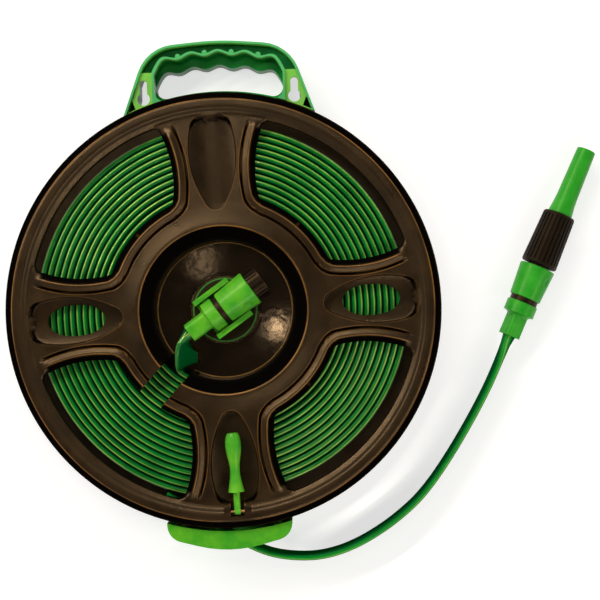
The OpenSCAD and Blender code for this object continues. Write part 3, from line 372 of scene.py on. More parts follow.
def winding_route():
    route = []
    count = round(shown_turns * rings_per_turn)
    for i in range(count + 1):
        turn = shown_turns * i / count
        angle = lead_angle + 360 * turn
        near = polar(noise_r, angle)
        settle = ramp(min(i, count - i) / rings_per_turn, 0, settling)
        wander = turn_wander * settle * noise.noise(Vector((*near, wander_step * turn)))
        rise = turn_rise * settle * noise.noise(Vector((*near, rise_start + rise_step * turn)))
        radius = winding_in_r + turn_pitch * turn + wander
        z = hose_mid_z - turn_sink * settle + rise
        route.append(Vector((*polar(radius, angle + reel_turn), z)))
    return route


hose_wound = hose_piece("hose_wound", winding_route(), "reel")
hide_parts("hose_winding")


# Outlines of the front flange's openings, in the reel's frame

def arc(centre, radius, start, end, spacing):
    """Points about spacing apart on an arc, from start to end in degrees."""
    steps = max(2, round(abs(radians(end - start)) * radius / spacing))
    return [(centre[0] + radius * cos(radians(start + (end - start) * i / steps)),
             centre[1] + radius * sin(radians(start + (end - start) * i / steps)))
            for i in range(steps + 1)]


def circles_meet(c1, r1, c2, r2):
    """The point where two circles meet on the left of the way from the first to the second."""
    dx, dy = c2[0] - c1[0], c2[1] - c1[1]
    d = hypot(dx, dy)
    along = (d * d + r1 * r1 - r2 * r2) / (2 * d)
    across = sqrt(max(0.0, r1 * r1 - along * along))
    return (c1[0] + (dx * along - dy * across) / d, c1[1] + (dy * along + dx * across) / d)


def angle_at(point, centre):
    return degrees(atan2(point[1] - centre[1], point[0] - centre[0]))


window_side = (spoke_w / 2 + window_side_r, waist_r)
# Spacing of the points on the outlines of windows and recesses
window_spacing = 1.8
recess_spacing = 1.5


def window_outline(e=0.0):
    """Outline of the window between +X and +Y, grown by e, counter-clockwise from 45 degrees."""
    hub = (0.0, 0.0)
    spacing = window_spacing
    corner = window_corner + corner_growth * e
    side_r = window_side_r + e
    side = window_side
    a = circles_meet(hub, window_out_r + e - corner, side, side_r - corner)
    b = circles_meet(hub, window_in_r - e + corner, side, side_r - corner)
    a_side, b_side = angle_at(a, side), angle_at(b, side) + 360
    half = (arc(hub, window_out_r + e, 45, angle_at(a, hub), spacing)
            + arc(a, corner, angle_at(a, hub), a_side, spacing / 2)[1:]
            + arc(side, side_r, a_side, b_side, spacing)[1:]
            + arc(b, corner, b_side, angle_at(b, hub) + 180, spacing / 2)[1:]
            + arc(hub, window_in_r - e, angle_at(b, hub), 45, spacing)[1:])
    return half + [(y, x) for x, y in half[-2:0:-1]]


recess_side_r = (((recess_w / 2) ** 2 + (recess_waist_y - recess_tip_y) ** 2 - recess_tip ** 2)
                 / (recess_w - 2 * recess_tip))
recess_side = (recess_w / 2 - recess_side_r, recess_waist_y)
recess_corner_y = recess_out_y - recess_corner
recess_corner_x = (sqrt((recess_side_r - recess_corner) ** 2 - (recess_corner_y - recess_waist_y) ** 2)
                   + recess_side[0])
recess_low = angle_at((0.0, recess_tip_y), recess_side)
recess_high = angle_at((recess_corner_x, recess_corner_y), recess_side)


def recess_outline(e):
    """Outline of the boat-shaped recess of the spoke that points to +Y, grown by e."""
    spacing = recess_spacing
    half = (arc((0.0, recess_tip_y), recess_tip + e, -90, recess_low, spacing)
            + arc(recess_side, recess_side_r + e, recess_low, recess_high, spacing)[1:]
            + arc((recess_corner_x, recess_corner_y), recess_corner + e, recess_high, 90, spacing)[1:])
    return half + [(-x, y) for x, y in half[:0:-1]]


# Points of an oval window and the power that makes its ends fuller than an ellipse's
oval_points = 72
oval_power = 0.86


def oval_outline():
    """Outline of the oval window on the +Y axis."""
    outline = []
    for i in range(oval_points):
        a = 2 * pi * i / oval_points
        reach = (1 if sin(a) > 0 else -1) * abs(sin(a)) ** oval_power
        outline.append((oval_w / 2 * cos(a), oval_r + oval_l / 2 * reach))
    return outline


def inside(points, outline):
    """Which of points, an array of x and y, lie inside the closed outline."""
    x, y = points[:, 0], points[:, 1]
    found = np.zeros(len(points), bool)
    for (x1, y1), (x2, y2) in zip(outline, outline[1:] + outline[:1]):
        if y1 != y2:
            found ^= ((y1 > y) != (y2 > y)) & (x < (x2 - x1) * (y - y1) / (y2 - y1) + x1)
    return found


def folded(points, first):
    """Points turned by quarter turns into the sector of 90 degrees that begins at first degrees."""
    radius = np.hypot(points[:, 0], points[:, 1])
    angle = np.degrees(np.arctan2(points[:, 1], points[:, 0]))
    angle = np.radians(first + np.mod(angle - first, 90))
    return radius * np.cos(angle), radius * np.sin(angle)


# The growth of an outline is found by halving this range so many times
growth_range = 4.0
halvings = 14


def rounded_most(a, b):
    """Growth at which a rounded corner reaches points that lie a and b outside its two sides."""
    low = np.maximum(a, b)
    high = low + growth_range
    for _ in range(halvings):
        e = (low + high) / 2
        corner = window_corner + corner_growth * e
        outside = np.hypot(np.maximum(a - e + corner, 0), np.maximum(b - e + corner, 0)) > corner
        low = np.where(outside, e, low)
        high = np.where(outside, high, e)
    return (low + high) / 2


def window_distance(points):
    """Growth at which the nearest window's outline reaches each point, negative inside the window."""
    x, y = folded(points, 0)
    x, y = np.minimum(x, y), np.maximum(x, y)
    radius = np.hypot(x, y)
    side = np.hypot(x - window_side[0], y - window_side[1]) - window_side_r
    return np.maximum(rounded_most(side, radius - window_out_r), rounded_most(side, window_in_r - radius))


def recess_distance(points):
    """Distance of each point from the nearest recess, negative inside it."""
    x, y = folded(points, 45)
    x = np.abs(x)
    angle = np.degrees(np.arctan2(y - recess_side[1], x - recess_side[0]))
    side = np.hypot(x - recess_side[0], y - recess_side[1]) - recess_side_r
    tip = np.hypot(x, y - recess_tip_y) - recess_tip
    corner = np.hypot(x - recess_corner_x, y - recess_corner_y) - recess_corner
    end = np.where(x < recess_corner_x, y - recess_out_y, corner)
    return np.where(angle < recess_low, tip, np.where(angle > recess_high, end, side))


# Height of the front flange's face over the plane of the reel

# Radius and height above the floor, where there is no window, recess or slot
flange_profile = [(64.7, 46.6), (67.5, 49.2), (70.5, 52.4), (73.4, 55.6), (75.2, 57.6), (75.9, 58.6),
                  (76.5, 59.4), (77.3, 59.9), (78.4, 60.1), (79.6, 59.95), (81, 59.6), (84, 58.8),
                  (87, 58.05), (90, 57.35), (93, 56.75), (96, 56.3), (99, 56.1), (178.6, 56.1),
                  (180.2, 56.4), (181.6, 57.0), (182.8, 58.0), (183.8, 59.2), (184.8, 60.1),
                  (186, 60.5), (188.4, 60.8), (190.8, 60.85), (192.4, 60.7), (193.2, 60.2),
                  (193.7, 59.3), (194.0, 58.0), (194.4, 56.6), (195.2, 55.9), (196.4, 55.7),
                  (198.4, 55.7), (199.2, 55.5), (199.6, 55.1), (199.9, 54.2)]
# Distance from a window and height of the lip round it over the face
lip_profile = [(0, -4.6), (1.0, -3.4), (2.0, -2.0), (3.0, -0.6), (4.0, 0.8), (4.8, 1.9), (5.5, 2.6),
               (6.1, 2.95), (6.9, 3.0), (7.7, 2.8), (8.7, 2.3), (9.7, 1.7), (10.7, 1.3),
               (11.3, 1.0), (11.7, 0.1), (12.1, -1.7), (12.7, -2.6), (13.3, -2.6), (13.8, -1.7),
               (14.3, -0.2), (14.7, 0.1), (15.3, 0)]
# Radii over which the windows' lip comes up outside the ring round the hub and goes down before the rim
lip_start_r = (88, 97)
lip_end_r = (164, 177)
# Drop and width of the windows' rolled-in corners by the rim, and the radius they reach to
roll_drop = 1.2
roll_w = 1.6
roll_out_r = 184
# Width of a recess's rounded edge along the sides and at the outer end, and the radii of the change
recess_edge = (1.3, 4.6)
recess_end_r = (166, 176)
# Half the width over which a recess can be hollow
trough_half = 40


def curve(profile, x):
    return np.interp(x, [p[0] for p in profile], [p[1] for p in profile])


def lip_share(radius):
    return (1 - ramp(radius, *lip_end_r)) * ramp(radius, *lip_start_r)


def flange_height(points, window, recess):
    """Height of the face at points whose distances from the nearest window and recess are given."""
    radius = np.hypot(points[:, 0], points[:, 1])
    height = curve(flange_profile, radius)
    height += curve(lip_profile, window) * lip_share(radius)
    # The corners by the rim are rolled in, without a lip
    rolled = ramp(radius, *lip_end_r) * (radius < roll_out_r)
    height -= rolled * roll_drop * (1 - ramp(window, 0, roll_w))
    # Recesses: a trough along each spoke, whose edge is rounded over
    across, _ = folded(points, 45)
    across = np.minimum(np.abs(across), trough_half)
    trough = front_z + flange_wall + recess_hollow_r - np.sqrt(recess_hollow_r ** 2 - across ** 2)
    depth = np.maximum(0, spoke_z - trough)
    # Their wall is steeper along the sides than at the outer end
    wall = recess_edge[0] + (recess_edge[1] - recess_edge[0]) * ramp(radius, *recess_end_r)
    height -= np.where(recess < 0, depth * (1 - (1 - clamp(-recess / wall)) ** 2), 0)
    return height


# Front flange: a moulded shell, from a triangulation that follows every outline

quarters = (0, 90, 180, 270)


def rectangle(left, right, low, high):
    return [(left, low), (right, low), (right, high), (left, high)]


def circle_points(radius, spacing):
    """Points about spacing apart on a circle, at least 90 of them."""
    count = max(90, round(2 * pi * radius / spacing))
    return [polar(radius, 360 * i / count) for i in range(count)]


windows = [turned(window_outline(), turn) for turn in quarters]
ovals = [turned(oval_outline(), turn) for turn in (90, -90)]

# The slot for the hose runs from inside the well to a little beyond the ring round the hub
slot_in_r = 40
slot_out_r = window_in_r + 6
slot_shape = turned(rectangle(slot_in_r, slot_out_r, slot_offset - slot_w / 2, slot_offset + slot_w / 2),
                    slot_angle)

# The crank's hinge block, lower than the bead, and the pocket in it, which reaches into the recess
pocket_overlap = 2
eye_gap = 0.8
block_drop = 0.6
pocket_lift = 1
crank_pocket = rectangle(-pocket_w / 2, pocket_w / 2,
                         -crank_r - eye_r - eye_gap, pocket_overlap - recess_out_y)
block_out_y = -crank_r - crank_block_out
crank_block = rectangle(-crank_block_w / 2, crank_block_w / 2, block_out_y, block_out_y + crank_block_l)
block_z = bead_z - block_drop
pocket_z = front_z + flange_wall + pocket_lift
# Width of the steps from the face up to the block and down into the pocket
block_step = 0.5
pocket_step = 0.3
# Growth that takes in the points on an outline
on_outline = 0.05
# Round the windows the shell has its full depth over this width
window_wall = flange_wall + 0.4


def grown(corners, e):
    cx = sum(p[0] for p in corners) / 4
    cy = sum(p[1] for p in corners) / 4
    return [(x + (e if x > cx else -e), y + (e if y > cy else -e)) for x, y in corners]


def divided(outline, spacing):
    """The closed outline with points about spacing apart."""
    points = []
    for a, b in zip(outline, outline[1:] + outline[:1]):
        count = max(1, round(hypot(a[0] - b[0], a[1] - b[1]) / spacing))
        points += [(a[0] + (b[0] - a[0]) * i / count, a[1] + (b[1] - a[1]) * i / count)
                   for i in range(count)]
    return points


# Spacing of points on the circles outside and inside a radius, and on the circles of fill points
outer_spacing = 4.4
inner_spacing = 3.2
spacing_change_r = 100
face_spacing = 4.5
# Spacing of points round the slot and the crank's block, and round its pocket
block_spacing = 3
pocket_spacing = 2
# Radius up to which a window's outlines are followed, a little further out with each growth
follow_r = 178.4
follow_growth = 0.05
# Growths of a recess's outline that the triangulation follows
recess_growths = (-4.6, -3.4, -2.3, -1.3, -0.6, 0, 0.5, 1.2)
# A gap longer than this is where the rim cuts an outline off
longest_side = 8
# Points nearer than this become one
weld_distance = 0.02
# Circles of fill points, each with a second one outside it
fill_radii = range(94, 195, 10)
fill_gap = 5
# Grid of fill points along each spoke: its step, start, half width and length in steps
grid_step = 3.0
grid_start = 92.0
grid_half = 7
grid_rows = 30
# Fill points stay this deep inside a recess or this far out of it, clear of windows and inside the rim
fill_recess_in = 4
fill_recess_out = 2.6
fill_window = 15.5
fill_rim_r = 178


def flange_outlines():
    """Closed outlines that the triangulation follows."""
    outlines = []
    for radius, _ in flange_profile:
        spacing = outer_spacing if radius > spacing_change_r else inner_spacing
        outlines.append(circle_points(radius, spacing))
    outlines += windows + ovals
    for turn in quarters:
        for e, _ in lip_profile[1:]:
            reach = follow_r + follow_growth * e
            outlines.append([p for p in turned(window_outline(e), turn) if hypot(*p) < reach])
        for e in recess_growths:
            outlines.append(turned(recess_outline(e), turn))
    outlines.append(divided(slot_shape, block_spacing))
    for shape in (crank_pocket, grown(crank_pocket, pocket_step)):
        outlines.append(divided(shape, pocket_spacing))
    for shape in (crank_block, grown(crank_block, block_step)):
        outlines.append(divided(shape, block_spacing))
    return outlines


def fill_points():
    """Points on the plain faces and in the recesses, clear of the outlines."""
    fill = []
    for radius in fill_radii:
        fill += circle_points(radius, face_spacing)
        fill += turned(circle_points(radius + fill_gap, face_spacing), 1)
    for turn in quarters:
        for i in range(-grid_half, grid_half + 1):
            for j in range(grid_rows):
                # Every other column is half a step further out
                y = grid_start + grid_step * j + grid_step / 2 * (i % 2)
                fill += turned([(grid_step * i, y)], turn)
    fill = np.array(fill)
    recess = recess_distance(fill)
    plain = ((recess > fill_recess_out) & (window_distance(fill) > fill_window)
             & (np.hypot(fill[:, 0], fill[:, 1]) < fill_rim_r))
    return [tuple(p) for p in fill[(recess < -fill_recess_in) | plain]]


def flange_net():
    """Points and triangles of the front flange in the plane."""
    points, edges = [], []
    for outline in flange_outlines():
        start, n = len(points), len(outline)
        points += outline
        for i in range(n):
            a, b = outline[i], outline[(i + 1) % n]
            if hypot(a[0] - b[0], a[1] - b[1]) < longest_side:
                edges.append((start + i, start + (i + 1) % n))
    points = [Vector(p) for p in points + fill_points()]
    found, _, triangles, *_ = delaunay_2d_cdt(points, edges, [], 0, weld_distance)
    flat = np.array([tuple(p) for p in found])
    triangles = np.array(triangles)
    middle = flat[triangles].mean(axis=1)
    radius = np.hypot(middle[:, 0], middle[:, 1])
    keep = (radius > well_r) & (radius < flange_r)
    for outline in windows + ovals + [slot_shape]:
        keep &= ~inside(middle, outline)
    triangles = triangles[keep]
    used = np.unique(triangles)
    number = np.full(len(flat), -1)
    number[used] = np.arange(len(used))
    return flat[used], number[triangles]


def shell_levels(flat, window, recess):
    """Heights of the shell's upper and lower side at each point."""
    top = flange_height(flat, window, recess)
    # The points on the outlines of the block and the pocket belong to them
    in_block = inside(flat, grown(crank_block, on_outline))
    top = np.where(in_block, np.maximum(top, block_z), top)
    in_pocket = inside(flat, grown(crank_pocket, on_outline))
    top = np.where(in_pocket, np.minimum(top, pocket_z), top)
    radius = np.hypot(flat[:, 0], flat[:, 1])
    bottom = np.maximum(front_z, top - flange_wall)
    # Walls of full depth round the windows, and the skirt of the rim
    bottom = np.where(window < window_wall, front_z, bottom)
    bottom = np.where(radius > flange_r - flange_wall, spoke_z - skirt_h, bottom)
    return top, bottom


def shell_faces(flat, triangles):
    """Faces of the upper side, the lower side, whose points follow those of the upper, and the walls."""
    n = len(flat)
    a, b, c = (flat[triangles[:, corner]] for corner in range(3))
    area = (b[:, 0] - a[:, 0]) * (c[:, 1] - a[:, 1]) - (b[:, 1] - a[:, 1]) * (c[:, 0] - a[:, 0])
    faces, sides = [], {}
    for (i, j, k), size in zip(triangles.tolist(), area):
        if size < 0:
            j, k = k, j
        faces.append((i, j, k))
        faces.append((n + i, n + k, n + j))
        sides.update(dict.fromkeys(((i, j), (j, k), (k, i))))
    # A side that only one triangle has is on the edge of the shell
    faces += [(j, i, n + i, n + j) for i, j in sides if (j, i) not in sides]
    return faces


# Painted highlights by the distance from a window or the radius: start, palest place and end, and strength
window_highlights = [((5.5, 6.1, 6.9), 0.9), ((14.3, 14.7, 15.3), 0.5)]
round_highlights = [((76.5, 77.3, 78.4), 0.8), ((192.4, 193.2, 193.7), 0.9)]
# Width of a recess's edge to both sides, and the radii over which its end wall takes on painted shade
recess_near = 5
recess_shade_r = (166, 174)
# Radii of the rim's bead, whose walls get little painted shade, and of the groove outside which all is
# painted shade
bead_r = (177, 193)
groove_r = (193.9, 194.6)
# Distances inside a recess's outline over which its floor takes on painted shade, and how much
recess_depths = (0.5, 3)
recess_floor_shade = 0.3
# How much a point's own slope counts against that of its neighbours
own_slope = 0.6
# Gain of the painted highlights on edges, the least that shows, and the gain of the painted shade in
# grooves
highlight_gain = 1.4
highlight_least = 0.1
groove_shade_gain = 2.5
# What is left of the painted highlights round a recess and of the painted shade on the bead's walls
recess_highlight_left = 0.5
bead_shade_left = 0.2
# Slopes between which a wall takes on painted shade, and the reach over which a slope is measured
wall_shade_slope = (0.5, 1)
slope_reach = 0.25
# A shorter side of a triangle counts as this long when its slope is worked out
least_side = 0.4
# No edge gets a painted highlight this near the crank's block
block_clear = 1.5
# The shell is smooth over edges that turn less than this, in degrees
shell_smooth = 42


def steepness(points):
    """Slope of the face at each point."""
    rises = []
    for step in ((slope_reach, 0), (0, slope_reach)):
        high, low = points + step, points - step
        rises.append((flange_height(high, window_distance(high), recess_distance(high))
                      - flange_height(low, window_distance(low), recess_distance(low))) / (2 * slope_reach))
    return np.hypot(*rises)


def prominence(flat, top, triangles):
    """Mean slope down from each point to its neighbours, and the mean of that over the neighbours."""
    n = len(flat)
    sides = np.vstack([triangles[:, [0, 1]], triangles[:, [1, 2]], triangles[:, [2, 0]]])
    here, there = np.vstack([sides, sides[:, ::-1]]).T
    length = np.hypot(*(flat[here] - flat[there]).T)
    slope = (top[here] - top[there]) / np.maximum(length, least_side)
    count = np.bincount(here, minlength=n)
    out = np.bincount(here, slope, n) / count
    return out, np.bincount(here, out[there], n) / count


def highlight_share(place, lines):
    """Share of painted highlights at a place across them."""
    return sum(np.interp(place, places, [0, strength, 0]) for places, strength in lines)


def painted_light_and_shade(flat, top, triangles, window, recess):
    """Shares of painted highlight and of painted shade on the upper side."""
    out, around = prominence(flat, top, triangles)
    radius = np.hypot(flat[:, 0], flat[:, 1])
    at_recess = np.abs(recess) < recess_near
    proud = own_slope * out + (1 - own_slope) * around
    # Painted highlights on edges that stand proud, along the windows' lips and on the rings round the hub
    # and the rim
    edge = (clamp(highlight_gain * proud - highlight_least) * np.where(at_recess, recess_highlight_left, 1)
            + lip_share(radius) * highlight_share(window, window_highlights) + highlight_share(radius, round_highlights))
    edge[inside(flat, grown(crank_block, block_clear))] = 0
    # Painted shade on steep walls
    wall = ramp(steepness(flat), *wall_shade_slope)
    # Half as much painted shade at a recess, but not at its outer end
    wall *= np.where(at_recess, 0.5 + 0.5 * ramp(radius, *recess_shade_r), 1)
    wall *= np.where((radius > bead_r[0]) & (radius < bead_r[1]), bead_shade_left, 1)
    # Painted shade in grooves, on a recess's floor and on the rim outside its groove
    groove_shade = groove_shade_gain * clamp(-0.5 * (out + around))
    groove_shade = np.where(at_recess | (radius > bead_r[0]), 0, groove_shade)
    floor_shade = recess_floor_shade * ramp(-recess, *recess_depths)
    painted_shade = clamp(wall + groove_shade + floor_shade + ramp(radius, *groove_r))
    return edge, painted_shade


def front_flange():
    """The shell, with painted highlights on its edges and painted shade on its walls, grooves and
    underside.
    """
    flat, triangles = flange_net()
    window = window_distance(flat)
    recess = recess_distance(flat)
    top, bottom = shell_levels(flat, window, recess)
    edge, painted_shade = painted_light_and_shade(flat, top, triangles, window, recess)
    flat = np.array(turned([tuple(p) for p in flat], reel_turn))
    vertices = [(x, y, z) for level in (top, bottom) for (x, y), z in zip(flat, level)]
    shell = new_piece("front_flange_shell", vertices, shell_faces(flat, triangles), "reel", shell_smooth)
    # The lower side is all painted shade, which darkens the walls round the windows too
    mark(shell, np.append(edge, np.zeros_like(edge)), np.append(painted_shade, np.ones_like(painted_shade)))
    return shell


flange_shell = front_flange()
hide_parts("front_flange")


# Materials

def linear(colour):
    """Linear colour with alpha from sRGB values of 0 to 255."""
    shares = [c / 255 for c in colour]
    return [s / 12.92 if s <= 0.04045 else ((s + 0.055) / 1.055) ** 2.4 for s in shares] + [1]


def feed(tree, socket, value):
    """Link an input socket to another node's output, or set it to a number or a colour."""
    if isinstance(value, bpy.types.NodeSocket):
        tree.links.new(value, socket)
    else:
        socket.default_value = value


def reckoned(tree, operation, *values, limited=False):
    """What a Math node makes of values, held between 0 and 1 if limited."""
    node = tree.nodes.new("ShaderNodeMath")
    node.operation = operation
    node.use_clamp = limited
    for socket, value in zip(node.inputs, values):
        feed(tree, socket, value)
    return node.outputs["Value"]


def scaled(tree, value, low, high, out_low, out_high):
    """value moved from the range low to high into the range out_low to out_high, and held there."""
    node = tree.nodes.new("ShaderNodeMapRange")
    limits = {"From Min": low, "From Max": high, "To Min": out_low, "To Max": out_high}
    for name, limit in limits.items():
        node.inputs[name].default_value = limit
    feed(tree, node.inputs["Value"], value)
    return node.outputs["Result"]


def mixed(tree, share, a, b):
    """Colours a and b mixed, with a share of 0 to 1 of b."""
    node = tree.nodes.new("ShaderNodeMix")
    node.data_type = "RGBA"
    for name, value in (("Factor", share), ("A", a), ("B", b)):
        feed(tree, node.inputs[name], value)
    return node.outputs["Result"]


def noise_share(tree, place, size, detail):
    """Noise of 0 to 1 in patches about size millimetres wide."""
    node = tree.nodes.new("ShaderNodeTexNoise")
    node.inputs["Scale"].default_value = 1 / mm / size
    node.inputs["Detail"].default_value = detail
    feed(tree, node.inputs["Vector"], place)
    return node.outputs["Fac"]


def marked(tree, name):
    """The share that mark() gave each point under a name."""
    node = tree.nodes.new("ShaderNodeAttribute")
    node.attribute_name = name
    return node.outputs["Fac"]


def relief(tree, height, strength, rise, below=None):
    """Direction of a surface with bumps of rise millimetres, laid over the relief below."""
    node = tree.nodes.new("ShaderNodeBump")
    node.inputs["Strength"].default_value = strength
    node.inputs["Distance"].default_value = rise * mm
    feed(tree, node.inputs["Height"], height)
    if below:
        feed(tree, node.inputs["Normal"], below)
    return node.outputs["Normal"]


def upward(tree, place):
    """Upward part of a place or a direction."""
    node = tree.nodes.new("ShaderNodeSeparateXYZ")
    feed(tree, node.inputs["Vector"], place)
    return node.outputs["Z"]


def colour_ramp(tree, value, stops):
    """Colour that follows value through stops of (value, colour), from low to high."""
    node = tree.nodes.new("ShaderNodeValToRGB")
    elements = node.color_ramp.elements
    for i, (position, colour) in enumerate(stops):
        stop = elements[i] if i < 2 else elements.new(position)
        stop.position = position
        stop.color = colour
    feed(tree, node.inputs["Fac"], value)
    return node.outputs["Color"]


def colour_by_height(tree, place, heights):
    """Colour at a height above the floor, from a list of (height, colour)."""
    top = heights[-1][0]
    stops = [(height / top, linear(colour)) for height, colour in heights]
    return colour_ramp(tree, scaled(tree, upward(tree, place), 0, top * mm, 0, 1), stops)


def ring_highlight_share(tree, place, radius, width):
    """Share of 0 to 1 of a painted highlight round the reel's axis that fades over width to both sides."""
    level_place = tree.nodes.new("ShaderNodeVectorMath")
    level_place.operation = "MULTIPLY"
    feed(tree, level_place.inputs[0], place)
    feed(tree, level_place.inputs[1], (1, 1, 0))
    reach = tree.nodes.new("ShaderNodeVectorMath")
    reach.operation = "LENGTH"
    feed(tree, reach.inputs[0], level_place.outputs["Vector"])
    distance = reach.outputs["Value"]
    rising = scaled(tree, distance, (radius - width) * mm, radius * mm, 0, 1)
    falling = scaled(tree, distance, radius * mm, (radius + width) * mm, 1, 0)
    return reckoned(tree, "MULTIPLY", rising, falling)


# Parts of the noise's range that the patches, the gloss and the painted highlights on edges follow
patch_noise = (0.32, 0.7)
gloss_noise = (0.3, 0.7)
highlight_noise = (0.38, 0.62)
# Least and most that is left of a painted highlight on an edge, and the size of its patches
highlight_left = (0.5, 1.1)
highlight_patch_size = 38
# Share of the patches where the colour follows the height
faint_patches = 0.16
# Size of the gloss patches as a share of the colour patches
gloss_patch_size = 0.6
# Heights of the grain and the waves as shares of their sizes
grain_rise = 0.3
wave_rise = 0.08
# Detail of the noise for the patches, the gloss, and the wear, grain and waves
patch_detail = 4
gloss_detail = 5
plain_detail = 2


def plastic(name, colour, light, rough=0.36, uneven=0.07, grain=0.08, grain_size=0.5, patch_size=30.0,
            wave=0.0, wave_size=14.0, tint=(1, 1, 1, 1), level=0.5, edge=None, edge_level=0.0, dark=None,
            ring=None):
    """Moulded plastic: colour patches, uneven gloss, a fine grain and shallow waves.

    Sizes are in millimetres. colour is one colour or a list of (height above the floor, colour), and light
    is the colour of the patches. edge is the colour of the painted highlights on the marked edges,
    edge_level what they add to the shine, and dark the colour of the painted shade on the marked walls and
    grooves, which also takes their shine away. ring is the radius, the width and the colour of a painted
    highlight round the reel's axis.
    """
    material = bpy.data.materials.new(name)
    material.use_nodes = True
    tree = material.node_tree
    place = tree.nodes.new("ShaderNodeTexCoord").outputs["Object"]
    patches = scaled(tree, noise_share(tree, place, patch_size, patch_detail), *patch_noise, 0, 1)
    if isinstance(colour, list):
        patches = scaled(tree, patches, 0, 1, 0, faint_patches)
        base = mixed(tree, patches, colour_by_height(tree, place, colour), linear(light))
    else:
        base = mixed(tree, patches, linear(colour), linear(light))
    shine = level
    if edge:
        # Painted shade darkens the marked walls and grooves and takes their shine away; painted highlights,
        # patchy along the edges, lighten them and add shine
        walls, edges = marked(tree, "painted_shade"), marked(tree, "edge")
        base = mixed(tree, walls, base, linear(dark))
        highlight_patchiness = scaled(tree, noise_share(tree, place, highlight_patch_size, plain_detail), *highlight_noise, *highlight_left)
        base = mixed(tree, reckoned(tree, "MULTIPLY", edges, highlight_patchiness, limited=True), base, linear(edge))
        shine = reckoned(tree, "MULTIPLY_ADD", edges, edge_level, scaled(tree, walls, 0, 1, level, 0))
    if ring:
        # A painted highlight round the reel's axis
        radius, width, pale = ring
        base = mixed(tree, ring_highlight_share(tree, place, radius, width), base, linear(pale))
    gloss_patches = noise_share(tree, place, patch_size * gloss_patch_size, gloss_detail)
    waves = None
    if wave:
        wave_noise = noise_share(tree, place, wave_size, plain_detail)
        waves = relief(tree, wave_noise, wave, wave_rise * wave_size)
    grain_noise = noise_share(tree, place, grain_size, plain_detail)
    surface = {"Base Color": base,
               "Roughness": scaled(tree, gloss_patches, *gloss_noise, rough - uneven, rough + uneven),
               "Normal": relief(tree, grain_noise, grain, grain_rise * grain_size, waves),
               "Specular Tint": tint,
               "Specular IOR Level": shine}
    for socket, value in surface.items():
        feed(tree, tree.nodes["Principled BSDF"].inputs[socket], value)
    return material


# The painted highlight on the glossy disc's outer edge, and the tint of reflections on the brown plastics
disc_highlight_r = 63.4
disc_highlight_w = 1.1
warm_tint = (1.0, 0.66, 0.36, 1)
# On the front flange, edge is the gold of its painted highlights and dark its painted shade
brown = plastic("brown_plastic", (26, 18, 10), (46, 32, 17), rough=0.34, grain=0.32, grain_size=1.1,
                wave=0.14, wave_size=9, tint=warm_tint, level=0.6, edge=(158, 110, 54),
                dark=(8, 6, 5))
# The same brown, darker on the rear flange, the drum and the axle cap deep in the reel: painted shade
shaded_brown = plastic("shaded_brown", (13, 10, 7), (22, 16, 10), rough=0.4, grain=0.16, grain_size=0.7,
                     wave=0.12, wave_size=9, tint=warm_tint, level=0.5)
gloss = plastic("gloss_disc", (17, 12, 8), (30, 21, 12), rough=0.08, uneven=0.02, grain=0.006,
                grain_size=0.8, wave=0.07, wave_size=11, tint=warm_tint, level=0.9,
                ring=(disc_highlight_r, disc_highlight_w, (230, 176, 100)))
black = plastic("body_black", (17, 12, 8), (28, 20, 13), rough=0.42, grain=0.14, grain_size=0.5,
                tint=warm_tint, level=0.3)
keeper = plastic("keeper_plastic", (40, 29, 16), (78, 56, 28), rough=0.22, grain=0.1, grain_size=0.5,
                 patch_size=6, wave=0.3, wave_size=5, tint=warm_tint, level=1.0)
rubber = plastic("sleeve_rubber", (14, 11, 8), (24, 18, 13), rough=0.55, grain=0.2, grain_size=0.6,
                 tint=warm_tint, level=0.2)
seal = plastic("seal_rubber", (18, 18, 18), (30, 30, 30), rough=0.5, grain=0.1)
smooth_hose = {"uneven": 0.02, "grain": 0.02, "grain_size": 0.8}
# On the hoses, edge is the colour of the painted highlight along each fold and dark that of the painted
# shade on the sides
hose = plastic("hose_green", (2, 104, 38), (6, 132, 48), rough=0.13, patch_size=22, level=0.35,
               tint=(1, 1, 0.42, 1), edge=(176, 206, 88), edge_level=0.65, dark=(2, 42, 20),
               **smooth_hose)
loose = plastic("loose_hose_green", (4, 130, 44), (10, 152, 50), rough=0.3, uneven=0.04, grain=0.04,
                grain_size=0.8, patch_size=22, tint=(1, 1, 0.5, 1), level=0.12,
                edge=(130, 196, 76), dark=(2, 92, 38))
lead_green = plastic("lead_green", (4, 104, 42), (10, 128, 50), rough=0.15, patch_size=16, level=1.0,
                     tint=(1, 1, 0.5, 1), edge=(190, 216, 104), dark=(3, 84, 36), **smooth_hose)
small_parts = {"grain": 0.1, "grain_size": 0.6, "patch_size": 14, "wave": 0.1, "wave_size": 7,
               "tint": (0.9, 1, 0.6, 1)}
fitting = plastic("fitting_green", (58, 162, 36), (102, 188, 40), rough=0.34, level=0.35, **small_parts)
outer_green = plastic("outer_green", (34, 154, 34), (54, 174, 42), rough=0.36, level=0.3, **small_parts)
# The frame's colour by height is painted light and shade: a brownish painted reflection at the bottom,
# painted shade on the channel floor, painted light on the keyhole plates and a pale painted highlight on
# the rim
frame_green = plastic("frame_green",
                      [(0, (104, 112, 56)), (3, (60, 140, 52)), (7, (14, 152, 48)), (20, (8, 138, 50)),
                       (23, (4, 120, 52)), (28, (4, 120, 52)), (30, (126, 200, 78)),
                       (33.4, (132, 204, 84)), (34.6, (84, 184, 108)), (60, (84, 184, 108))],
                      (70, 170, 60), rough=0.32, grain=0.1, grain_size=0.6, patch_size=22, wave=0.12,
                      wave_size=8, level=0.14, tint=(0.5, 1, 0.6, 1))
ivory = plastic("claw_ivory", (205, 196, 170), (222, 214, 190), rough=0.4)


# A metal's patches are lighter than its colour by this much
metal_lift = 18


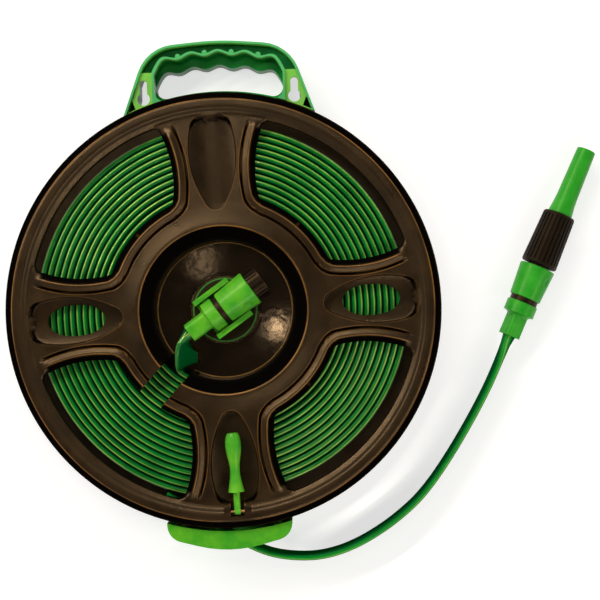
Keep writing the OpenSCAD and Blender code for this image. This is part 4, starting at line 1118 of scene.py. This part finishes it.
def metal(name, colour, rough):
    material = plastic(name, colour, [min(255, c + metal_lift) for c in colour], rough=rough, grain=0.12,
                       grain_size=0.4, patch_size=8)
    material.node_tree.nodes["Principled BSDF"].inputs["Metallic"].default_value = 1.0
    return material


steel = metal("steel", (176, 172, 164), 0.3)
bronze = metal("bronze", (150, 112, 58), 0.34)

pieces_of = {loose: ["hose_free"],
             lead_green: ["hose_lead"],
             hose: ["hose_wound"],
             brown: ["front_flange_shell"],
             shaded_brown: ["rear_flange", "drum_core", "axle_cap"],
             gloss: ["hub_disc"],
             keeper: ["retaining_ring"],
             bronze: ["crank_pin"],
             frame_green: ["frame", "axle_tube"],
             fitting: ["foot_guide", "hub_clip", "hub_nut", "hub_collar", "crank_arm", "crank_grip"],
             outer_green: ["end_nut", "end_collar", "spray_barrel"],
             black: ["hub_body", "end_body", "tap_adapter", "nozzle_body"],
             rubber: ["nozzle_sleeve"],
             ivory: ["hub_claws", "end_claws"],
             seal: ["tap_seal", "tap_washer", "nozzle_oring", "barrel_seal"]}
finishes = {name: material for material, names in pieces_of.items() for name in names}
bevel_widths = {"frame": 0.8, "foot_guide": 0.9, "rear_flange": 0.4, "drum_core": 0.3, "hub_disc": 0.35,
                "axle_tube": 0.4, "hub_clip": 0.5, "hub_nut": 0.5, "end_nut": 0.5, "hub_collar": 0.3,
                "end_collar": 0.3, "tap_adapter": 0.3, "nozzle_sleeve": 0.3, "crank_arm": 0.4,
                "crank_grip": 0.3, "spray_barrel": 0.3, "axle_cap": 0.6, "retaining_ring": 0.2}

# Edges sharper than this, in degrees, are softened
bevel_from = 32

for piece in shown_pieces():
    piece.data.materials.clear()
    # Screws and springs are steel
    piece.data.materials.append(finishes.get(piece.name, steel))
    if piece.name in bevel_widths:
        bevel = piece.modifiers.new("soft_edges", "BEVEL")
        bevel.width = bevel_widths[piece.name] * mm
        bevel.segments = 2
        bevel.limit_method = "ANGLE"
        bevel.angle_limit = radians(bevel_from)
        bevel.harden_normals = True


# Background: pale near the horizon and dim overhead, so that flat faces stay dark and rounded edges
# catch light

# Brightness by the upward share of a direction
sky_levels = [(0.0, 0.95), (0.3, 0.5), (0.57, 0.22), (0.8, 0.09), (1.0, 0.05)]


def make_world():
    world = bpy.data.worlds.new("world")
    bpy.context.scene.world = world
    world.use_nodes = True
    tree = world.node_tree
    direction = tree.nodes.new("ShaderNodeTexCoord").outputs["Generated"]
    stops = [(rise, (level, level, level, 1)) for rise, level in sky_levels]
    sky = colour_ramp(tree, upward(tree, direction), stops)
    feed(tree, tree.nodes["Background"].inputs["Color"], sky)


make_world()


# Floor, a hair below the object, in metres

floor_half = 3.0
floor_drop = 0.0005
floor_grey = 0.5
floor_glow = 0.66


def floor_material():
    """Matt grey whose glow only the camera and reflections see, so that it lights nothing."""
    material = bpy.data.materials.new("floor")
    material.use_nodes = True
    tree = material.node_tree
    shader = tree.nodes["Principled BSDF"]
    shader.inputs["Base Color"].default_value = (floor_grey, floor_grey, floor_grey, 1)
    shader.inputs["Roughness"].default_value = 0.9
    shader.inputs["Specular IOR Level"].default_value = 0.0
    path = tree.nodes.new("ShaderNodeLightPath")
    shown = path.outputs["Is Camera Ray"]
    for kind in ("Is Glossy Ray", "Is Transmission Ray"):
        shown = reckoned(tree, "MAXIMUM", shown, path.outputs[kind])
    choice = tree.nodes.new("ShaderNodeMixShader")
    feed(tree, choice.inputs["Fac"], shown)
    for socket, strength in ((1, 0.0), (2, floor_glow)):
        glow = tree.nodes.new("ShaderNodeEmission")
        glow.inputs["Strength"].default_value = strength
        feed(tree, choice.inputs[socket], glow.outputs["Emission"])
    both = tree.nodes.new("ShaderNodeAddShader")
    feed(tree, both.inputs[0], shader.outputs["BSDF"])
    feed(tree, both.inputs[1], choice.outputs["Shader"])
    feed(tree, tree.nodes["Material Output"].inputs["Surface"], both.outputs["Shader"])
    return material


floor_mesh = bpy.data.meshes.new("floor")
floor_corners = rectangle(-floor_half, floor_half, -floor_half, floor_half)
floor_mesh.from_pydata([(x, y, 0) for x, y in floor_corners], [], [(0, 1, 2, 3)])
floor_mesh.materials.append(floor_material())
floor_piece = bpy.data.objects.new("floor", floor_mesh)
floor_piece.location.z = -floor_drop
bpy.context.scene.collection.objects.link(floor_piece)


# Lights: two long strips for the moulded edges, a soft patch on the upper spoke, and two small lamps whose
# reflections lie on the glossy disc

def softbox(name, place, target, size, power, colour=(1, 1, 1)):
    """A rectangular area light at place that looks at target, in metres and watts."""
    data = bpy.data.lights.new(name, "AREA")
    data.shape = "RECTANGLE"
    data.size, data.size_y = size
    data.energy = power
    data.color = colour
    lamp = bpy.data.objects.new(name, data)
    lamp.location = place
    lamp.rotation_euler = (Vector(target) - Vector(place)).to_track_quat("-Z", "Y").to_euler()
    bpy.context.scene.collection.objects.link(lamp)


softbox("key", (-0.53, 0.85, 0.99), (0, 0, 0), (1.9, 0.06), 17, (1, 0.95, 0.84))
softbox("fill", (0.57, -0.82, 0.99), (0, 0, 0), (1.9, 0.05), 8, (1, 0.95, 0.84))
softbox("crown", (-0.06, 0.36, 1.25), (0, 0.17, 0.05), (0.2, 0.16), 0.9, (1, 0.98, 0.94))
softbox("glint", (0.027, -0.043, 1.206), (0.049, -0.018, 0.029), (0.02, 0.02), 0.028)
softbox("mottle", (-0.11, 0.083, 1.206), (-0.02, 0.045, 0.029), (0.045, 0.03), 0.011)

bpy.context.scene.view_settings.view_transform = "Standard"
